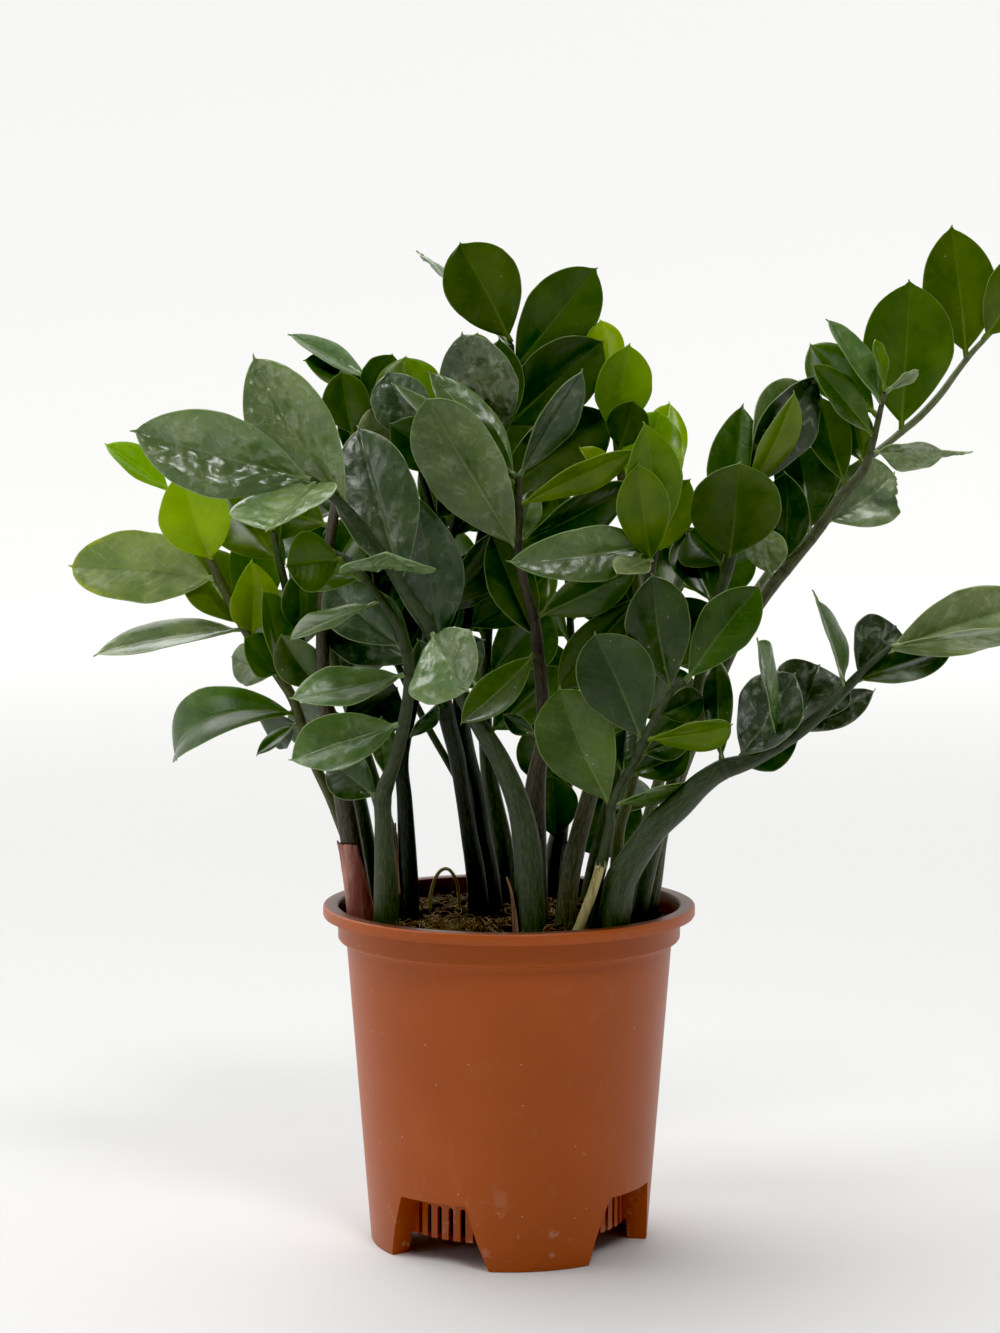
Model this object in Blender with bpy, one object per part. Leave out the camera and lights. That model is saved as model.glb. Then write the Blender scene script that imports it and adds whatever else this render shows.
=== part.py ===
"""A cardboard palm (sold under that name; the plant is a ZZ plant) in a 17 cm plastic nursery pot.

Sizes in the tables are millimetres. +Z is up, -Y is the front and +X the plant's right as seen from there.
Each frond is one solid: a fleshy stalk with its leaflets grown onto it.
"""

import math
import random

import bmesh
import bpy
import numpy as np
from mathutils import Matrix, Vector
from mathutils.bvhtree import BVHTree

MM = 0.001
SEED = 20
GAP = 0.3  # between two pieces that touch
ORIGIN_SHIFT = (-35.2, -6.5, 0.0)  # puts the origin under the middle of the whole plant

# ---------------------------------------------------------------- pot
POT_SIDES = 48
POT_HEIGHT = 155.0
WALL = 1.6
FOOT_RADIUS = 63.6  # outside, at the ground
SHOULDER_RADIUS = 74.5  # outside, where the wall meets the band
BAND_BOTTOM, BAND_TOP, BAND_RADIUS = 139.0, 149.6, 78.2
RIM_RADIUS, RIM_INNER = 85.0, 78.0
FLOOR = 10.0
ALCOVE_TOP = 29.5
ALCOVE_RADIUS = 54.0  # the set-back wall between two feet
FOOT_INNER = 54.8  # inner side of a foot
ALCOVE_HALF_BOTTOM, ALCOVE_HALF_TOP = 24.0, 15.0  # degrees either side of its middle
FIRST_FOOT = 13.0  # degrees from the front towards +X
SLOTS, SLOT_PITCH, SLOT_WIDTH, SLOT_TOP = 6, 6.0, 2.4, 24.8

# ---------------------------------------------------------------- soil
SOIL_TOP = 145.0
SOIL_ROUGHNESS = 1.6
SOIL_SIDES = 24
LAYER_BOTTOM = 124.0  # of the upper layer of compost, which holds the stalks' sockets

# ---------------------------------------------------------------- stalks and leaflets
STEM_SIDES = 6
LEAF_THICK = 1.1  # at the midrib, thinning to the margin
LEAF_FOLD = 9.0  # degrees that each half lifts
STALK_HALF = 1.3
BLADE = ((0.12, 0.50), (0.35, 0.93), (0.62, 0.98), (0.85, 0.64))  # share of length, share of width
CLEARANCE = 0.7  # kept free around a leaflet

# A frond is (name, colour, spine, leaflets).
# spine: x, y, z, radius. It is a smooth curve through these points.
# leaflet: place on the spine (2.5 is halfway from point 2 to 3), heading in the front view
# (0 right, 90 up), degrees leaning towards the front, roll of the blade about its midrib
# (0 faces the front), length, width, droop in degrees from stalk to tip.
FRONDS = (
    ("frond_top_left", "grey_green",
     ((10, -48, 128, 7.5), (9, -46, 168, 6.5), (7.9, -44, 187.0, 6.2), (3.9, -42, 206.4, 5.2),
      (-4.0, -40, 225.3, 4.5), (-15.1, -40, 244.0, 3.8), (-26.1, -42, 264.2, 3.3), (-35, -46, 284, 3.2),
      (-47, -52, 303, 2.8), (-55, -58, 317, 2.5), (-69, -66, 336, 2.2), (-79, -72, 346, 1.8),
      (-85, -76, 351, 1.2)),
     ((7.0, 303, 48, 15, 42, 40, 10), (8.6, 90, 78, 0, 50, 42, 0), (7.9, 106, -14, 0, 78, 37, 0),
      (11.6, 231, 58, 52, 50, 50, 0), (11.7, 164, 10, -20, 81, 37, 0), (10.0, 121, 10, 0, 80, 36, 0))),
    ("frond_front_left", "green",
     ((-55, -30, 128, 6.0), (-55, -32, 165, 5.5), (-56, -33, 195, 4.0), (-56, -34, 209, 3.8),
      (-51, -36, 224, 3.0), (-46, -40, 244, 2.8), (-44, -44, 264, 2.5), (-47.5, -46, 282, 2.2),
      (-55, -46, 295, 2.0), (-68, -46, 312, 1.6), (-79, -46, 319, 1.0)),
     ((4.9, 196, 20, 25, 55, 28, 0), (6, 190, 18, 44, 55, 24, 0), (2.75, 148, -30, 0, 34, 22, 0),
      (3.3, 95, -20, 30, 32, 14, 0), (8.1, 202, 25, 74, 47, 22, 0), (8.6, 172, -25, 0, 42, 20, 0),
      (6.55, 140, -22, 0, 52, 26, 0), (9.3, 186, 22, 0, 28, 27, 0))),
    ("frond_front_right", "green",
     ((33, -38, 128, 3.4), (37, -42, 150, 3.0), (38.5, -44, 168, 2.8), (41.5, -46, 182, 2.6),
      (44.5, -47, 197, 2.2), (45, -48, 205, 2.1), (49, -50, 215, 2.0), (55, -52, 226, 1.9),
      (58.5, -54, 235, 1.8), (64, -56, 246, 1.6), (72, -58, 259, 1.4), (77, -59, 262, 1.0)),
     ((8.0, 114, 14, 0, 56, 34, 0), (5.0, 114, 5, 0, 59, 36, 0), (9.8, 99, 5, 0, 54, 29, 0),
      (10.9, 53, 5, 0, 54, 25, 0), (8.1, 9, 10, 45, 40, 20, 0), (5.1, 11, 12, 60, 35, 20, 0),
      (6.4, 20, -20, 0, 34, 18, 0), (9.0, 20, -25, 0, 26, 16, 0), (6.2, 85, -30, 0, 26, 14, 0),
      (7.3, 15, -30, 0, 26, 14, 0))),
    ("frond_arching_right", "grey_green",
     ((43, -46, 128, 7.5), (48, -50, 168, 7.0), (52, -50, 178, 6.6), (58, -51, 188, 6.3),
      (64.5, -52, 197, 6.0), (74.6, -53, 206.6, 5.8), (83.8, -54, 216.0, 5.2), (93.3, -55, 222.7, 4.4),
      (105.0, -56, 226.8, 3.6), (117.5, -58, 234.1, 3.2), (131.2, -60, 243.6, 2.6),
      (144.4, -62, 256.9, 2.2), (153.6, -64, 267.1, 1.9), (165.8, -66, 278.2, 1.3)),
     ((7.5, 58, 4, 0, 49, 34, 0), (7.0, 91, -25, 0, 54, 14, 0), (9.0, 103, 18, 66, 67, 18, 0),
      (9.6, 69, -10, 0, 36, 36, 0), (7.3, 16, -15, 0, 37, 16, 0), (9.5, 24, -12, 0, 50, 15, 0),
      (11.2, 110, 12, 60, 48, 21, 0), (11.6, 48, -22, 0, 33, 32, 0), (11.5, 20, 4, 0, 48, 24, 0),
      (12.7, 18, 5, 28, 74, 28, 0), (13.0, 12, 12, 55, 69, 20, 0))),
    ("frond_centre", "brown_green",
     ((13, -12, 128, 5.5), (12.2, -13, 175.1, 5.0), (11.7, -14, 207.2, 4.8), (15, -16, 232, 3.0),
      (15, -18, 252, 3.0), (13, -20, 272, 2.8), (11, -22, 287, 2.5), (7, -25, 302, 2.2),
      (4, -28, 319, 1.9), (4, -31, 336, 1.9), (4, -33, 352, 1.2)),
     ((9.1, 25, 14, 40, 59, 18, 0), (7.9, 121, 16, 0, 83, 36, 0), (9.0, 133, 1, 62, 82, 30, 0),
      (9.6, 129, -12, 35, 66, 22, 0), (9.8, 137, -25, 0, 44, 20, 0), (8.0, 75, -15, 0, 28, 12, 0),
      (6.0, 27, 15, 20, 54, 22, 0), (5.0, 219, 38, 30, 56, 18, 0), (3.0, 150, -20, 0, 22, 9, 0),
      (9.8, 60, 2, 35, 56, 22, 0), (8.1, 27, -10, 40, 61, 28, 0), (5.2, 113, -10, 0, 55, 22, 0))),
    ("frond_centre_right", "pale_green",
     ((24, -24, 128, 5.5), (26.5, -26, 164, 4.6), (30, -26, 184, 4.3), (35, -26, 204, 3.9),
      (41, -26, 225, 3.4), (47, -27, 250, 3.0), (54, -28, 275, 2.5), (60, -30, 298, 2.2),
      (64, -32, 314, 1.9), (66, -32, 335, 1.3)),
     ((8.3, 186, 16, -20, 69, 25, 0), (8, 196, 30, 62, 30, 16, 0), (7.1, 229, -5, 0, 60, 22, 0),
      (7.8, 99, 14, 0, 50, 24, 0), (8.2, 95, 2, 0, 59, 27, 0), (6.2, 130, -10, 0, 44, 24, 0))),
    ("frond_left_bright", "bright_green",
     ((-63, 20, 128, 4.5), (-69, 14, 165, 3.4), (-81, 15, 198, 2.6), (-90, 15, 218, 2.4),
      (-98, 13, 244, 2.4), (-105, 12, 257, 2.4), (-115, 10, 271, 2.4), (-123, 8, 284, 2.3),
      (-133, 5, 305, 2.2), (-142, 3, 325, 1.8), (-152, 0, 342, 1.2)),
     ((10.0, 143, 5, 48, 38, 20, 0), (8.2, 104, 18, 0, 51, 33, 0), (6.3, 89, 20, 0, 40, 24, 0),
      (6.4, 84, -10, 0, 58, 26, 0), (7.9, 176, -8, 15, 71, 34, 0), (6.7, 126, -15, 0, 47, 32, 0),
      (6.7, 182, 5, 58, 71, 22, 15), (5.1, 165, -50, 0, 38, 20, 0), (5.0, 125, 10, 70, 32, 20, 0),
      (4.8, 98, 5, 65, 50, 24, 0), (3.8, 168, 12, 38, 88, 30, 92), (3.7, 205, -45, 0, 28, 20, 0),
      (3.7, 218, 5, 60, 26, 11, 0))),
    ("frond_right_upper", "brown_green",
     ((60, -4, 128, 5.0), (66, -4, 165, 4.0), (70, -3, 190, 3.6), (78, -2, 215, 3.8), (90, 0, 245, 3.8),
      (103, 0, 275, 3.8), (117, 0, 297, 3.8), (128, -1, 311, 3.7), (140, -2, 326, 3.3),
      (150, -3, 341, 3.1), (160, -4, 353, 2.6), (164, -5, 366, 2.0), (167, -6, 380, 1.6),
      (169, -6, 388, 1.0)),
     ((6.7, 90, 8, 0, 46, 24, 0), (7.7, 96, -25, 0, 49, 28, 0), (8.1, 33, -2, 0, 47, 32, 0),
      (10.6, 1, 12, 52, 46, 22, 0), (12.2, 121, -5, 55, 46, 20, 0), (11.1, 132, 14, 30, 46, 19, 0),
      (11.7, 132, -24, 0, 49, 24, 0), (13.0, 104, 10, 40, 24, 9, 0), (12.9, 35, 0, 40, 18, 8, 0),
      (9.2, 105, -10, 0, 45, 20, 0), (10, 102, -16, 0, 33, 17, 0), (7.7, 60, -8, 0, 45, 17, 0),
      (6.2, 97, 8, 0, 27, 20, 0))),
    ("frond_right_round", "green",
     ((54, -22, 128, 4.5), (61, -22, 165, 3.6), (66, -20, 185, 3.2), (73, -16, 210, 2.8),
      (82, -12, 240, 2.6), (86, -10, 258, 2.6), (91, -8, 285, 2.8), (99, -8, 310, 2.6),
      (104, -10, 335, 2.0), (110, -8, 355, 1.6), (116, -4, 368, 1.0)),
     ((7, 87, 14, 0, 53, 41, 0), (7.2, 85, -20, 0, 72, 30, 0), (8.2, 65, 22, 52, 57, 24, 0),
      (8.9, 58, -26, 0, 58, 30, 0), (8.4, 58, 8, 0, 61, 29, 0), (6.9, 134, -20, 0, 26, 26, 0),
      (6.2, 107, -10, 0, 42, 24, 0))),
    ("frond_left_tall", "brown_green",
     ((-64.5, -8, 128, 6.3), (-68.3, -8, 160.1, 5.4), (-72.7, -8, 190.4, 4.8), (-77.0, -10, 215.3, 4.2),
      (-83, -12, 250, 3.4), (-84, -8, 290, 2.8), (-80, 5, 330, 2.4), (-73, 15, 358, 2.0),
      (-67, 24, 381, 1.4), (-63, 28, 393, 1.0)),
     ((9.0, 155, 0, 60, 44, 20, -10), (8.6, 158, 8, 28, 33, 23, 0), (7.3, 99, 14, 0, 33, 22, 0),
      (8.0, 60, -10, 20, 28, 20, 0), (6.3, 40, -20, 0, 46, 24, 0), (5.9, 161, -26, 0, 48, 34, 0),
      (5.2, 60, -40, 0, 50, 24, 0))),
    ("frond_left_dark", "dark_green",
     ((-46, -8, 128, 5.0), (-45.6, -8, 160.1, 4.6), (-47.3, -8, 200.5, 3.6), (-48.5, -8, 222, 3.0),
      (-44, -6, 246, 2.8), (-38, -2, 272, 2.6), (-33, 2, 300, 2.4), (-34, 6, 328, 2.0),
      (-40, 10, 352, 1.6), (-44, 12, 372, 1.1)),
     ((8.4, 110, 14, 0, 39, 27, 0), (8.9, 182, 40, 45, 26, 20, 0), (8.9, 97, -24, 0, 35, 31, 0),
      (7.0, 60, -15, 0, 50, 26, 0), (6.4, 140, -15, 0, 50, 28, 0), (5.5, 45, -15, 0, 48, 26, 0),
      (4.7, 146, -14, 0, 59, 36, 0), (4.4, 35, -10, 0, 40, 24, 0), (3.3, 55, 5, 50, 25, 13, 0))),
    ("frond_centre_grey", "dark_green",
     ((-12, 4, 128, 5.5), (-15, 3, 165, 4.6), (-18, 2, 185, 4.0), (-21, 1, 203, 3.4),
      (-23.8, 0, 222.3, 3.8), (-28.2, -2, 240.4, 3.8), (-31.3, -4, 262.1, 3.0), (-31, -6, 290, 2.2),
      (-27, -6, 320, 2.0), (-19, -6, 345, 1.8), (-10, -6, 357, 1.5), (-3, -6, 366, 1.1)),
     ((11.0, 111, 12, 0, 53, 35, 0), (5.0, 108, 10, 0, 46, 20, 0), (6.3, 93, 4, 0, 78, 32, 0),
      (10.4, 87, -15, 0, 53, 24, 0), (9.4, 150, -15, 0, 46, 24, 0), (8.0, 60, -10, 0, 46, 24, 0),
      (7.0, 45, -10, 0, 52, 26, 0), (7.4, 140, -10, 0, 46, 24, 0))),
    ("frond_top_centre", "dark_green",
     ((-5, 16, 128, 5.0), (-9, 15, 165, 4.4), (-12.5, 14, 185, 4.0), (-15, 12, 205, 3.6),
      (-19.8, 10, 225.3, 3.8), (-22.5, 9, 245.3, 3.4), (-21, 9, 270, 2.6), (-17, 9, 300, 2.4),
      (-10, 9, 335, 2.2), (-3, 9, 370, 2.0), (1, 9, 395, 1.8), (1, 9, 410, 1.2)),
     ((11.0, 118, 8, 0, 51, 35, 0), (10.8, 135, -10, 76, 68, 24, 0), (10.1, 51, 0, 0, 61, 34, 0),
      (9, 42, 6, 0, 62, 34, 0), (8.2, 120, -20, 0, 48, 26, 0), (8.1, 35, -10, 0, 70, 34, 0),
      (7.3, 40, -12, 0, 50, 28, 0), (6.3, 35, -8, 0, 48, 26, 0))),
    ("frond_right_mid", "bright_green",
     ((46, 2, 128, 4.2), (49, 2, 165, 3.4), (50.5, 2, 188, 2.6), (56, 2, 208, 2.4), (60, 2, 235, 2.4),
      (61, 2, 265, 2.3), (58, 2, 300, 2.2), (53, 2, 335, 2.0), (49, 2, 362, 1.8), (47, 2, 385, 1.1)),
     ((8.1, 84, 8, 0, 47, 27, 0), (9, 99, -10, 0, 37, 19, 0), (6.8, 74, -4, 0, 56, 27, 0),
      (7.9, 76, 22, 0, 28, 20, 0), (7.6, 150, 10, 30, 22, 10, 0), (6.3, 57, 4, 0, 46, 24, 0),
      (5.4, 120, -15, 0, 48, 26, 0), (3.4, 42, -5, 0, 40, 24, 0), (4.4, 130, -15, 0, 44, 24, 0),
      (4.8, 46, -12, 0, 47, 30, 0), (6.5, 74, -18, 0, 73, 24, 0))),
    ("frond_left_mid", "green",
     ((-56, 8, 128, 5.2), (-62.6, 8, 162.1, 4.6), (-66.7, 9, 185.2, 4.4), (-69.9, 10, 203.1, 3.8),
      (-74, 10, 222, 3.0), (-82, 9, 242, 2.6), (-91, 8, 262, 2.3), (-98, 6, 285, 2.0),
      (-103, 4, 305, 1.8), (-107, 2, 325, 1.2)),
     ((5.4, 121, 22, 0, 40, 22, 0), (6.6, 90, 12, 0, 37, 22, 0), (7.5, 60, -10, 0, 42, 24, 0),
      (8.2, 129, -14, 0, 45, 34, 0), (9.0, 100, -5, 0, 44, 26, 0), (4.6, 31, -35, 0, 39, 30, 0))),
    ("frond_right_far", "pale_green",
     ((52, 24, 128, 4.2), (60, 24, 170, 3.4), (72, 24, 215, 3.0), (92, 24, 260, 2.8),
      (120, 24, 305, 2.6), (150.4, 24, 343.6, 2.4), (176.9, 24, 366.6, 2.3), (187.8, 24, 375.7, 2.4),
      (197.7, 24, 386.3, 2.3), (206.3, 24, 398.1, 2.0), (214.0, 24, 407.7, 1.8), (230, 24, 424, 1.1)),
     ((6.2, 88, 6, 0, 70, 42, 0), (9.5, 97, -4, 0, 62, 35, 0), (10.2, 60, 0, 0, 52, 28, 0),
      (11.0, 45, 5, 0, 54, 28, 0), (10.6, 15, 0, 0, 50, 26, 0), (5, 108, -30, 0, 26, 13, 0))),
    ("frond_thin_back", "green",
     ((-6, 36, 128, 3.2), (-12, 36, 170, 2.4), (-19, 35, 197, 2.0), (-26, 34, 211, 1.8),
      (-39, 34, 234, 1.7), (-52, 32, 262, 1.6), (-60, 30, 290, 1.5), (-64, 28, 318, 1.3),
      (-66, 28, 345, 1.0)),
     ((4.8, 105, -10, 0, 48, 34, 0), (5.0, 55, -5, 0, 46, 26, 0), (5.8, 78, -10, 0, 46, 34, 0),
      (6.3, 45, -5, 0, 46, 26, 0), (7.2, 130, -10, 0, 44, 24, 0), (8.0, 95, -10, 0, 44, 24, 0))),
    ("frond_back_centre", "green",
     ((0.9, 46, 128, 5.4), (-2.9, 50, 170.1, 5.4), (-10.5, 56, 215.2, 3.6), (-11.0, 64, 265.4, 2.8),
      (-8, 72, 310, 2.3), (-12, 78, 350, 1.9), (-14, 82, 385, 1.2)),
     ((2.2, 44, 15, 0, 52, 24, 0), (2.6, 140, -40, 0, 38, 26, 0), (2.7, 49, -5, 0, 46, 32, 0),
      (3.1, 119, 5, 0, 46, 28, 0), (3.4, 36, -45, 0, 56, 28, 0), (3.6, 143, -35, 0, 50, 28, 0),
      (3.9, 45, 0, 0, 52, 28, 0), (4.2, 135, -10, 0, 50, 28, 0), (4.6, 57, -40, 0, 61, 32, 0),
      (4.8, 130, -40, 0, 50, 28, 0), (5.4, 60, -20, 0, 46, 26, 0), (6, 93, -20, 0, 34, 17, 0))),
    ("frond_back_left", "green",
     ((-44, 40, 128, 4.8), (-54, 48, 170, 3.8), (-68, 58, 215, 3.2), (-84, 70, 262, 2.8),
      (-94, 80, 300, 2.3), (-100, 86, 330, 1.9), (-104, 88, 352, 1.2)),
     ((2.4, 200, -40, 0, 46, 26, 0), (2.7, 60, -50, 0, 50, 26, 0), (3.3, 175, -45, 0, 56, 34, 0),
      (3.6, 60, -40, 0, 52, 28, 0), (4.3, 150, -45, 0, 54, 34, 0), (4.7, 60, -35, 0, 50, 26, 0),
      (5.4, 150, -40, 0, 44, 26, 0), (6.0, 100, -30, 0, 40, 24, 0))),
    ("frond_back_right", "green",
     ((34, 44, 128, 4.8), (42, 50, 170, 3.8), (54, 60, 215, 3.2), (66, 72, 250, 2.8),
      (76, 82, 280, 2.3), (84, 88, 305, 1.9), (88, 92, 322, 1.2)),
     ((1.32, 53, -30, 0, 34, 26, 0), (2.5, 16, -45, 0, 48, 32, 0), (3.0, 130, -40, 0, 48, 26, 0),
      (3.4, 0, -45, 0, 50, 26, 0), (4, 98, -40, 0, 50, 34, 0), (4.5, 20, -45, 0, 48, 26, 0),
      (5.2, 120, -40, 0, 40, 24, 0))),
    ("frond_back_low", "dark_green",
     ((19.0, 56, 128, 5.4), (22.0, 64, 165.1, 5.0), (28, 76, 200, 2.7), (30, 88, 235, 2.3),
      (30, 98, 270, 1.9), (28, 106, 300, 1.2)),
     ((1.12, 93, 8, 0, 37, 24, 0), (1.12, 27, -10, 0, 47, 34, 0), (1.78, 113, 15, 0, 44, 26, 0),
      (2.3, 35, -15, 0, 46, 26, 0), (2.9, 125, 10, 0, 48, 32, 0), (3.2, 40, -20, 0, 48, 28, 0),
      (3.9, 130, -20, 0, 46, 26, 0), (4.2, 45, -30, 0, 44, 26, 0), (5.0, 100, -40, 0, 40, 24, 0))))

# A sheath is (name, colour, the frond it clasps, lowest and highest place on its spine, middle of its
# width in degrees (0 right, -90 front), half its width below and above, how far its top stands away).
SHEATHS = (
    ("sheath_left_tall", "pink_sheath", "frond_left_tall", 0.62, 1.75, 200, 150, 95, 0.5),
    ("sheath_top_left_dry", "dry_brown", "frond_top_left", 0.49, 1.22, 190, 42, 8, 3.0),
    ("sheath_top_left_low", "dry_brown", "frond_top_left", 0.49, 0.63, -28, 40, 18, 1.5),
    ("sheath_front_right_low", "dry_brown", "frond_front_right", 0.88, 1.1, 215, 70, 25, 0.6),
    ("sheath_left_dark_torn", "dry_brown", "frond_left_dark", 1.0, 1.75, 200, 30, 6, 0.5),
)
SHEATH_THICK = 0.7
# Stalks without leaves: name, colour, spine.
TWIGS = (
    ("cut_stub", "straw", ((24, -52, 130, 3.4), (30, -54, 150, 3.2), (36, -56, 167, 3.1),
                           (40, -57, 180, 3.0))),
    ("root_loop", "straw", ((-37, 20, 138, 1.2), (-36.5, 20, 154, 1.1), (-33, 20, 165, 1.1),
                            (-28, 20, 167, 1.1), (-24, 20, 160, 1.1), (-23, 21, 149, 1.1),
                            (-22, 22, 138, 1.2))),
)
# A tuft of moss and old root fibre is (name, middle x, y, half its length, half its width,
# height above the soil).
TUFTS = (
    ("moss_tuft_left", -50, -42, 8, 5.5, 8),
    ("moss_tuft_front", -23, -42, 17, 9, 10),
)
TUFT_BED = 3.0  # how deep a tuft sits in the soil

COLOURS = {
    "green": (0.13, 0.25, 0.05, 1), "grey_green": (0.22, 0.30, 0.16, 1),
    "dark_green": (0.05, 0.11, 0.035, 1), "pale_green": (0.27, 0.36, 0.13, 1),
    "bright_green": (0.30, 0.43, 0.03, 1), "brown_green": (0.17, 0.19, 0.08, 1),
    "terracotta": (0.42, 0.17, 0.085, 1), "soil": (0.035, 0.026, 0.02, 1),
    "pink_sheath": (0.42, 0.18, 0.15, 1), "dry_brown": (0.23, 0.13, 0.08, 1),
    "straw": (0.55, 0.47, 0.24, 1), "moss": (0.20, 0.15, 0.05, 1),
}
# Search order when a leaflet would touch a neighbour: small turns first.
LEANS, ROLLS = (0, 7, -7, 14, -14, 22, -22, 30, -30), (0, 12, -12, 24, -24, 38, -38)
TURNS, SIZES = (0, 5, -5, 10, -10), (1.0, 0.85, 0.7)


def clear_scene():
    for obj in list(bpy.data.objects):
        bpy.data.objects.remove(obj, do_unlink=True)


def material(name, colour, roughness=0.45):
    mat = bpy.data.materials.new(name)
    mat.use_nodes = True
    shader = next(node for node in mat.node_tree.nodes if node.type == "BSDF_PRINCIPLED")
    shader.inputs["Base Color"].default_value = colour
    shader.inputs["Roughness"].default_value = roughness
    mat.diffuse_color = colour
    return mat


def add_object(name, points, faces, colour=None, roughness=0.45):
    """A mesh object from millimetre points, with its normals facing out."""
    mesh = bpy.data.meshes.new(name)
    shift = Vector(ORIGIN_SHIFT)
    mesh.from_pydata([(Vector(p) + shift) * MM for p in points], [], faces)
    solid = bmesh.new()
    solid.from_mesh(mesh)
    bmesh.ops.recalc_face_normals(solid, faces=solid.faces)
    solid.to_mesh(mesh)
    solid.free()
    obj = bpy.data.objects.new(name, mesh)
    bpy.context.scene.collection.objects.link(obj)
    if colour:
        mesh.materials.append(material(name, COLOURS[colour], roughness))
    return obj


def loft(rings, first_cap=True, last_cap=True):
    """Points and faces of a tube through rings with the same number of points."""
    count = len(rings[0])
    points = [p for ring in rings for p in ring]
    faces = []
    for k in range(len(rings) - 1):
        for i in range(count):
            j = (i + 1) % count
            faces.append((k * count + i, k * count + j, (k + 1) * count + j, (k + 1) * count + i))
    if first_cap:
        faces.append(tuple(reversed(range(count))))
    if last_cap:
        faces.append(tuple((len(rings) - 1) * count + i for i in range(count)))
    return points, faces


def revolve(profile, sides):
    """A closed solid from a profile of (radius, height) that starts and ends on the axis."""
    points = [(0, 0, profile[0][1])]
    for radius, height in profile[1:-1]:
        for i in range(sides):
            a = 2 * math.pi * i / sides
            points.append((radius * math.sin(a), -radius * math.cos(a), height))
    points.append((0, 0, profile[-1][1]))
    faces, rows, last = [], len(profile) - 2, len(points) - 1
    for i in range(sides):
        j = (i + 1) % sides
        faces.append((0, 1 + i, 1 + j))
        for k in range(rows - 1):
            a, b = 1 + k * sides, 1 + (k + 1) * sides
            faces.append((a + i, b + i, b + j, a + j))
        faces.append((1 + (rows - 1) * sides + i, last, 1 + (rows - 1) * sides + j))
    return points, faces


def wall_radius(height):
    return FOOT_RADIUS + (SHOULDER_RADIUS - FOOT_RADIUS) * height / BAND_BOTTOM


def wedge(middle, half_low, half_high, inner, outer_low, outer_high, low, high, steps=4):
    """A block between two cylinders, whose half-width in degrees changes with height."""
    rings = []
    for height, half, outer in ((low, half_low, outer_low), (high, half_high, outer_high)):
        ring = []
        for radius, order in ((inner, range(steps + 1)), (outer, range(steps, -1, -1))):
            for k in order:
                a = math.radians(middle - half + 2 * half * k / steps)
                ring.append((radius * math.sin(a), -radius * math.cos(a), height))
        rings.append(ring)
    return split_quads(*loft(rings))


def split_quads(points, faces):
    """Twisted sides become two flat triangles each, as a Boolean needs."""
    flat = []
    for face in faces:
        flat += [face] if len(face) != 4 else [face[:3], (face[0], face[2], face[3])]
    return points, flat


def degrees_of(length, radius):
    return math.degrees(length / radius)


def half_width(height):
    """Half the alcove's width in degrees, at a height."""
    share = height / ALCOVE_TOP
    return ALCOVE_HALF_BOTTOM + (ALCOVE_HALF_TOP - ALCOVE_HALF_BOTTOM) * share


def combine(obj, helpers, operation, name):
    """Applies an exact Boolean with every helper, then removes the helpers."""
    group = bpy.data.collections.new(name)
    bpy.context.scene.collection.children.link(group)
    for helper in helpers:
        bpy.context.scene.collection.objects.unlink(helper)
        group.objects.link(helper)
        helper.hide_render = True
        helper.display_type = "WIRE"
    modifier = obj.modifiers.new(name, "BOOLEAN")
    modifier.operation = operation
    modifier.solver = "EXACT"
    modifier.operand_type = "COLLECTION"
    modifier.collection = group
    bpy.context.view_layer.update()
    graph = bpy.context.evaluated_depsgraph_get()
    mesh = bpy.data.meshes.new_from_object(obj.evaluated_get(graph), depsgraph=graph)
    materials = list(obj.data.materials)
    obj.modifiers.clear()
    obj.data = mesh
    mesh.materials.clear()
    for mat in materials:
        mesh.materials.append(mat)
    mesh.polygons.foreach_set("material_index", [0] * len(mesh.polygons))
    for helper in helpers:
        bpy.data.objects.remove(helper, do_unlink=True)
    bpy.data.collections.remove(group)


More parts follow.
